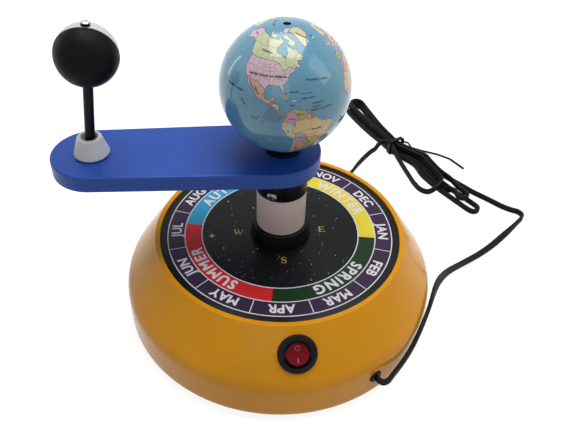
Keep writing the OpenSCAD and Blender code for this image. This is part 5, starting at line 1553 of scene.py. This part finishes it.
# Words, longitude and latitude of their middle, height in millimetres and turn in degrees
LABELS = (
    ("UNITED STATES OF AMERICA", -97.5, 36.4, 1.25, 4), ("CANADA", -107, 55.5, 1.3, -4),
    ("ALASKA", -152, 64.5, 0.8, 0), ("MEXICO", -104.2, 23.5, 0.95, -52), ("GREENLAND", -42, 72, 0.9, -60),
    ("BRAZIL", -51, -9, 1.4, 0), ("COLOMBIA", -73, 3.4, 0.65, 0), ("VENEZUELA", -65.8, 7.4, 0.65, 0),
    ("PERU", -75.5, -9, 0.6, -50), ("BOLIVIA", -64, -17, 0.5, 0), ("ARGENTINA", -66, -35, 0.8, -75),
    ("CUBA", -78.5, 24.2, 0.6, -10), ("BAHAMAS", -71, 25.6, 0.9, 0), ("PUERTO RICO", -59, 20, 0.95, 0),
    ("HAITI", -72.5, 15.2, 0.8, 0), ("BARBADOS", -51, 15, 0.9, 0),
    ("TRINIDAD AND TOBAGO", -47, 9.4, 0.95, 0), ("GRENADA", -52, 12.1, 0.85, 0),
    ("GUATEMALA", -101, 1.2, 0.5, 55), ("NICARAGUA", -96.4, -1.6, 0.5, 55),
    ("ATLANTIC OCEAN", -48, 33, 1.2, -8), ("PACIFIC OCEAN", -127, 20, 1.3, 0),
    ("EQUATOR", -104, 0.8, 0.6, 0), ("TROPIC OF CANCER", -60, 24, 0.5, 0),
    ("TROPIC OF CAPRICORN", -100, -23, 0.55, 0), ("SOUTH PACIFIC OCEAN", -120, -32, 1.2, 0),
    ("ICELAND", -19, 67.5, 0.5, 0), ("SOUTH ATLANTIC OCEAN", -16, -28, 1.1, 0),
    ("NORTH PACIFIC OCEAN", 178, 30, 1.3, 0), ("INDIAN OCEAN", 78, -22, 1.4, 0), ("RUSSIA", 95, 61, 1.5, 0),
    ("CHINA", 103, 34, 1.3, 0), ("INDIA", 78.8, 22, 0.9, 0), ("MONGOLIA", 103, 46, 0.7, 0),
    ("KAZAKHSTAN", 67, 47.5, 0.8, 0), ("IRAN", 54, 32, 0.7, 0), ("SAUDI ARABIA", 46, 23, 0.6, -20),
    ("EGYPT", 30, 26.5, 0.6, 0), ("ALGERIA", 1.5, 28.5, 0.7, 0), ("LIBYA", 17.5, 27.5, 0.7, 0),
    ("SUDAN", 30, 14, 0.7, 0), ("MALI", -4, 18, 0.6, 0), ("CONGO", 23, -3, 0.7, 0),
    ("ANGOLA", 17.8, -12.5, 0.6, 0), ("SOUTH AFRICA", 24, -30, 0.5, 0), ("SPAIN", -4, 39.8, 0.5, 0),
    ("FRANCE", 2.4, 46.4, 0.5, 0), ("AUSTRALIA", 134, -24.5, 1.3, 0), ("JAPAN", 146, 36, 0.7, 0),
    ("INDONESIA", 113, -1.5, 0.6, 0), ("ANTARCTICA", 60, -76, 1.2, 0), ("ARCTIC OCEAN", 175, 79, 0.9, 0),
)
GLOBE_Z = 176.2 * MM
# The azimuth that the camera sees in the middle, and the longitude printed there
FACING, MIDDLE_LON = -96.0, -79.2
POLE_HOLE = 2.2 * MM
POLE_EDGE = 0.45 * MM
# Heights of the lands, borders, leaders, words and grid above the ball
LAND_LIFT, BORDER_LIFT, STATE_LIFT = 0.03 * MM, 0.05 * MM, 0.045 * MM
WORD_LIFT, GRID_LIFT = 0.07 * MM, 0.015 * MM
BORDER_W, STATE_W, LEADER_W, GRID_W = 0.2 * MM, 0.11 * MM, 0.36 * MM, 0.1 * MM


def on_globe(lon, lat, radius):
    """Points on the sphere: longitudes run east round the axis, the middle one facing the camera."""
    a = np.radians(FACING + np.asarray(lon) - MIDDLE_LON)
    b = np.radians(np.asarray(lat))
    return np.stack([
        radius * np.cos(b) * np.cos(a), radius * np.cos(b) * np.sin(a), GLOBE_Z + radius * np.sin(b),
    ], axis=-1)


def places(text):
    """Longitudes and latitudes (n, 2) from a line of text."""
    return np.array(text.split(), dtype=float).reshape(-1, 2)


def crinkle(ring, step, wobble, seed):
    """A closed outline (n, 2) cut into steps and pushed a little to each side, so that it isn't straight.

    The push at a point depends only on its place, so that two lands that share a border still meet.
    """
    out = []
    for p, q in zip(ring, np.roll(ring, -1, axis=0)):
        count = max(1, int(np.linalg.norm(q - p) / step))
        t = np.arange(count)[:, None] / count
        line = p + (q - p) * t
        mid = np.minimum(t, 1 - t) * 2
        side = np.stack([
            np.sin(line[:, 1] * 1.7 + line[:, 0] * 0.6 + seed) + np.sin(line[:, 1] * 4.1 - line[:, 0] * 2.3),
            np.sin(line[:, 0] * 1.9 - line[:, 1] * 0.7 + seed) + np.sin(line[:, 0] * 3.7 + line[:, 1] * 2.9),
        ], axis=-1)
        out.append(line + side * mid * wobble)
    return np.concatenate(out)


def land_mesh(ring, radius, step=3.0):
    """Triangles that fill an outline in longitude and latitude and follow the sphere."""
    low, high = ring.min(axis=0), ring.max(axis=0)
    lons = np.arange(low[0] + step / 2, high[0], step)
    lats = np.arange(low[1] + step / 2, high[1], step)
    grid = np.stack(np.meshgrid(lons, lats, indexing="ij"), axis=-1).reshape(-1, 2)
    points = [Vector(p) for p in np.concatenate([ring, grid])]
    count = len(ring)
    result = delaunay_2d_cdt(points, [], [list(range(count))], 1, 1e-5)
    flat = np.array([(p.x, p.y) for p in result[0]])
    return on_globe(flat[:, 0], flat[:, 1], radius), [list(f) for f in result[2]]


def globe_words(words, lon, lat, height, turn, radius):
    """Small words on the sphere: their x and y, turned, become degrees east and north of their place."""
    flat, faces = text_shape(words, height, bold=0.075 * height, spacing=1.05, copies=4, detail=1)
    x, y = flat[:, 0], flat[:, 1] - height / 2
    a = math.radians(turn)
    east = np.degrees((x * math.cos(a) - y * math.sin(a)) / (radius * math.cos(math.radians(lat))))
    north = np.degrees((x * math.sin(a) + y * math.cos(a)) / radius)
    return on_globe(lon + east, lat + north, radius + flat[:, 2]), faces


def drawn(line, step=2.5):
    """Points of an open line in longitude and latitude, given as text and cut into steps."""
    corners = places(line)
    parts = []
    for p, q in zip(corners[:-1], corners[1:]):
        count = max(2, int(np.linalg.norm(q - p) / step) + 1)
        parts.append(p + (q - p) * np.linspace(0, 1, count, endpoint=False)[:, None])
    return np.concatenate(parts + [corners[-1:]])


def ribbon(points, centre, width, lift, closed=True):
    """A band of that width along points near a sphere, lifted off it: its sides are at half the width."""
    way = np.roll(points, -1, axis=0) - np.roll(points, 1, axis=0) if closed else np.gradient(points, axis=0)
    way /= np.maximum(np.linalg.norm(way, axis=1)[:, None], 1e-9)
    out = points - centre
    out /= np.linalg.norm(out, axis=1)[:, None]
    side = np.cross(way, out) * width / 2
    count = len(points)
    i = np.arange(count if closed else count - 1)
    j = (i + 1) % count
    faces = np.stack([i, j, j + count, i + count], axis=-1)
    return np.concatenate([points - side + out * lift, points + side + out * lift]), faces.tolist()


def ocean_finish():
    """Steel blue print with paler drifts, under a clear glossy varnish."""
    f = Finish("ocean print").set(
        Coat_Weight=0.95, Coat_Roughness=0.085, Specular_IOR_Level=0.1, Roughness=0.32,
    )
    tones = f.ramp(f.noise(30, 5), [(0.3, (0.058, 0.215, 0.36)), (0.7, (0.12, 0.31, 0.42))])
    f.link(tones, f.surface.inputs["Base Color"])
    return f.material


def print_lands(sheet, r):
    """Lands with their borders, the lines inside them, and the leaders of the small countries."""
    centre = (0, 0, GLOBE_Z)
    for tone, text in LANDS:
        ring = crinkle(places(text), step=1.5, wobble=0.28, seed=0.4)
        points, faces = land_mesh(ring, r + LAND_LIFT)
        sheet.add(points, faces, tone)
        shore = on_globe(ring[:, 0], ring[:, 1], r)
        sheet.add(*ribbon(shore, centre, BORDER_W, BORDER_LIFT), "border")
    for width, lift, lines in ((STATE_W, STATE_LIFT, STATES), (LEADER_W, BORDER_LIFT, LEADERS)):
        for line in lines:
            route = drawn(line)
            there = on_globe(route[:, 0], route[:, 1], r)
            sheet.add(*ribbon(there, centre, width, lift, False), "border")


def print_grid(sheet, r):
    """A parallel and a meridian at every 15 degrees, the meridians open at the poles."""
    centre = (0, 0, GLOBE_Z)
    for lat in range(-75, 76, 15):
        lon = np.arange(0, 360, 2.5)
        there = on_globe(lon, np.full(len(lon), lat), r)
        sheet.add(*ribbon(there, centre, GRID_W, GRID_LIFT), "grid")
    for lon in range(0, 360, 15):
        lat = np.arange(-84, 84.1, 3)
        there = on_globe(np.full(len(lat), lon), lat, r)
        sheet.add(*ribbon(there, centre, GRID_W, GRID_LIFT, False), "grid")


class DEMO_OT_globe(bpy.types.Operator):
    """Builds the globe with its printed lands, borders and grid"""

    bl_idname = "moon_demo.globe"
    bl_label = "Globe"

    def execute(self, context):
        make_materials()
        r = sizes().globe_r
        hole = math.asin(POLE_HOLE / r)
        turn = np.linspace(-math.pi / 2 + hole, math.pi / 2 - hole, 97)
        skin = np.stack([r * np.cos(turn), GLOBE_Z + r * np.sin(turn)], axis=-1)
        south = [[POLE_HOLE, GLOBE_Z - r + POLE_EDGE]]
        north = [[POLE_HOLE, GLOBE_Z + r - POLE_EDGE]]
        ball = lathe("globe_ball", outline(south, skin, north), 192)
        finish_piece(ball, "globe", ocean_finish())
        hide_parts("globe_north", "globe_south")

        sheet = Print()
        print_lands(sheet, r)
        for name, lon, lat, height, turned_by in LABELS:
            sheet.add(*globe_words(name, lon, lat, height * MM, turned_by, r + WORD_LIFT), "border")
        print_grid(sheet, r)
        varnish = {"roughness": 0.32, "coat": 0.95}
        inks = {tone: ink(tone + " land", colour, **varnish) for tone, colour in PALETTE.items()}
        inks["border"] = ink("border lines", (0.022, 0.018, 0.028), **varnish)
        inks["grid"] = ink("grid lines", (0.07, 0.19, 0.30), **varnish)
        lands = sheet.build("globe_print", inks)
        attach(lands, "globe")
        return {"FINISHED"}


# Stage

FLOOR_HALF = 3.0
AIM = (0, 0, 0.08)
# Name, place, width, height and power in watts of each lamp; all of them look at the same point
LAMPS = (
    ("overhead", (0.05, 0.2, 1.2), 0.9, 0.9, 13),
    ("window", (0.9, -0.25, 0.8), 0.45, 0.8, 1.8),
    ("front", (-0.3, -1.2, 0.7), 0.7, 0.7, 1.4),
    ("strip", (-0.87, 0.5, 0.32), 0.05, 0.5, 0.35),
)


def straight_rays(tree):
    """1 for rays from the camera, from gloss and through glass, and 0 for the rest: the largest of three."""
    path = tree.nodes.new("ShaderNodeLightPath")
    seen = path.outputs["Is Camera Ray"]
    for ray in ("Is Glossy Ray", "Is Transmission Ray"):
        larger = tree.nodes.new("ShaderNodeMath")
        larger.operation = "MAXIMUM"
        tree.links.new(seen, larger.inputs[0])
        tree.links.new(path.outputs[ray], larger.inputs[1])
        seen = larger.outputs[0]
    return seen


def shader(tree, kind, colour, strength=None):
    """A shader of that kind with its colour, and its strength where it has one."""
    node = tree.nodes.new("ShaderNode" + kind)
    node.inputs["Color"].default_value = (*colour, 1)
    if strength is not None:
        node.inputs["Strength"].default_value = strength
    return node.outputs[0]


def by_ray(tree, kind, seen, rest):
    """Gives the output of that kind the first shader for straight rays and the second for the rest."""
    pick = tree.nodes.new("ShaderNodeMixShader")
    tree.links.new(straight_rays(tree), pick.inputs[0])
    tree.links.new(rest, pick.inputs[1])
    tree.links.new(seen, pick.inputs[2])
    out = tree.nodes.new("ShaderNodeOutput" + kind)
    tree.links.new(pick.outputs[0], out.inputs["Surface"])


def make_floor():
    """A white floor that glows to the camera, takes soft shadows, and bounces a little light."""
    half = FLOOR_HALF
    corners = [(-half, -half, 0), (half, -half, 0), (half, half, 0), (-half, half, 0)]
    mesh = bpy.data.meshes.new("floor")
    mesh.from_pydata(corners, [], [(0, 1, 2, 3)])
    floor = bpy.data.objects.new("floor", mesh)
    bpy.context.scene.collection.objects.link(floor)
    material = bpy.data.materials.new("floor")
    material.use_nodes = True
    tree = material.node_tree
    tree.nodes.clear()
    both = tree.nodes.new("ShaderNodeAddShader")
    tree.links.new(shader(tree, "Emission", (1, 1, 1), 0.86), both.inputs[0])
    tree.links.new(shader(tree, "BsdfDiffuse", (0.3, 0.3, 0.3)), both.inputs[1])
    by_ray(tree, "Material", both.outputs[0], shader(tree, "BsdfDiffuse", (0.6, 0.6, 0.6)))
    mesh.materials.append(material)


def make_world(scene):
    """White where the camera sees it, and a dim cool light for everything else."""
    world = bpy.data.worlds.new("World")
    scene.world = world
    world.use_nodes = True
    tree = world.node_tree
    tree.nodes.clear()
    white = shader(tree, "Background", (1, 1, 1), 1.0)
    soft = shader(tree, "Background", (0.93, 0.96, 1), 0.27)
    by_ray(tree, "World", white, soft)


class DEMO_OT_stage(bpy.types.Operator):
    """Builds the white floor, the world and the lights"""

    bl_idname = "moon_demo.stage"
    bl_label = "Stage"

    def execute(self, context):
        scene = context.scene
        scene.view_settings.view_transform = "Standard"
        make_floor()
        make_world(scene)
        for name, place, width, height, power in LAMPS:
            data = bpy.data.lights.new(name, "AREA")
            data.shape = "RECTANGLE"
            data.size = width
            data.size_y = height
            data.energy = power
            light = bpy.data.objects.new(name, data)
            light.location = place
            light.rotation_euler = (Vector(AIM) - Vector(place)).to_track_quat("-Z", "Y").to_euler()
            scene.collection.objects.link(light)
        return {"FINISHED"}


class DEMO_PT_panel(bpy.types.Panel):
    """Sizes, colours and a button for each group of pieces"""

    bl_idname = "DEMO_PT_panel"
    bl_label = "Moon Phase Demonstrator"
    bl_space_type = "VIEW_3D"
    bl_region_type = "UI"
    bl_category = "Moon Demo"

    def draw(self, context):
        layout = self.layout
        for group in (context.scene.demo_sizes, context.scene.demo_colours, context.scene.demo_camera):
            box = layout.box()
            for name in group.__annotations__:
                box.prop(group, name)
        for operator in OPERATORS:
            layout.operator(operator.bl_idname)


OPERATORS = (
    DEMO_OT_camera, DEMO_OT_lead, DEMO_OT_base, DEMO_OT_dial, DEMO_OT_post, DEMO_OT_switch, DEMO_OT_arm,
    DEMO_OT_globe, DEMO_OT_moon, DEMO_OT_works, DEMO_OT_stage,
)
CLASSES = (DemoSizes, DemoColours, DemoCamera, *OPERATORS, DEMO_PT_panel)


def register():
    """Makes the classes known and gives the scene its sizes, colours and camera."""
    for cls in CLASSES:
        bpy.utils.register_class(cls)
    bpy.types.Scene.demo_sizes = bpy.props.PointerProperty(type=DemoSizes)
    bpy.types.Scene.demo_colours = bpy.props.PointerProperty(type=DemoColours)
    bpy.types.Scene.demo_camera = bpy.props.PointerProperty(type=DemoCamera)


def unregister():
    """Takes away what register gave."""
    for name in ("demo_sizes", "demo_colours", "demo_camera"):
        delattr(bpy.types.Scene, name)
    for cls in reversed(CLASSES):
        bpy.utils.unregister_class(cls)


def main():
    """Builds every group of pieces in turn."""
    register()
    for operator in OPERATORS:
        group, name = operator.bl_idname.split(".")
        getattr(getattr(bpy.ops, group), name)()


if __name__ == "__main__":
    main()
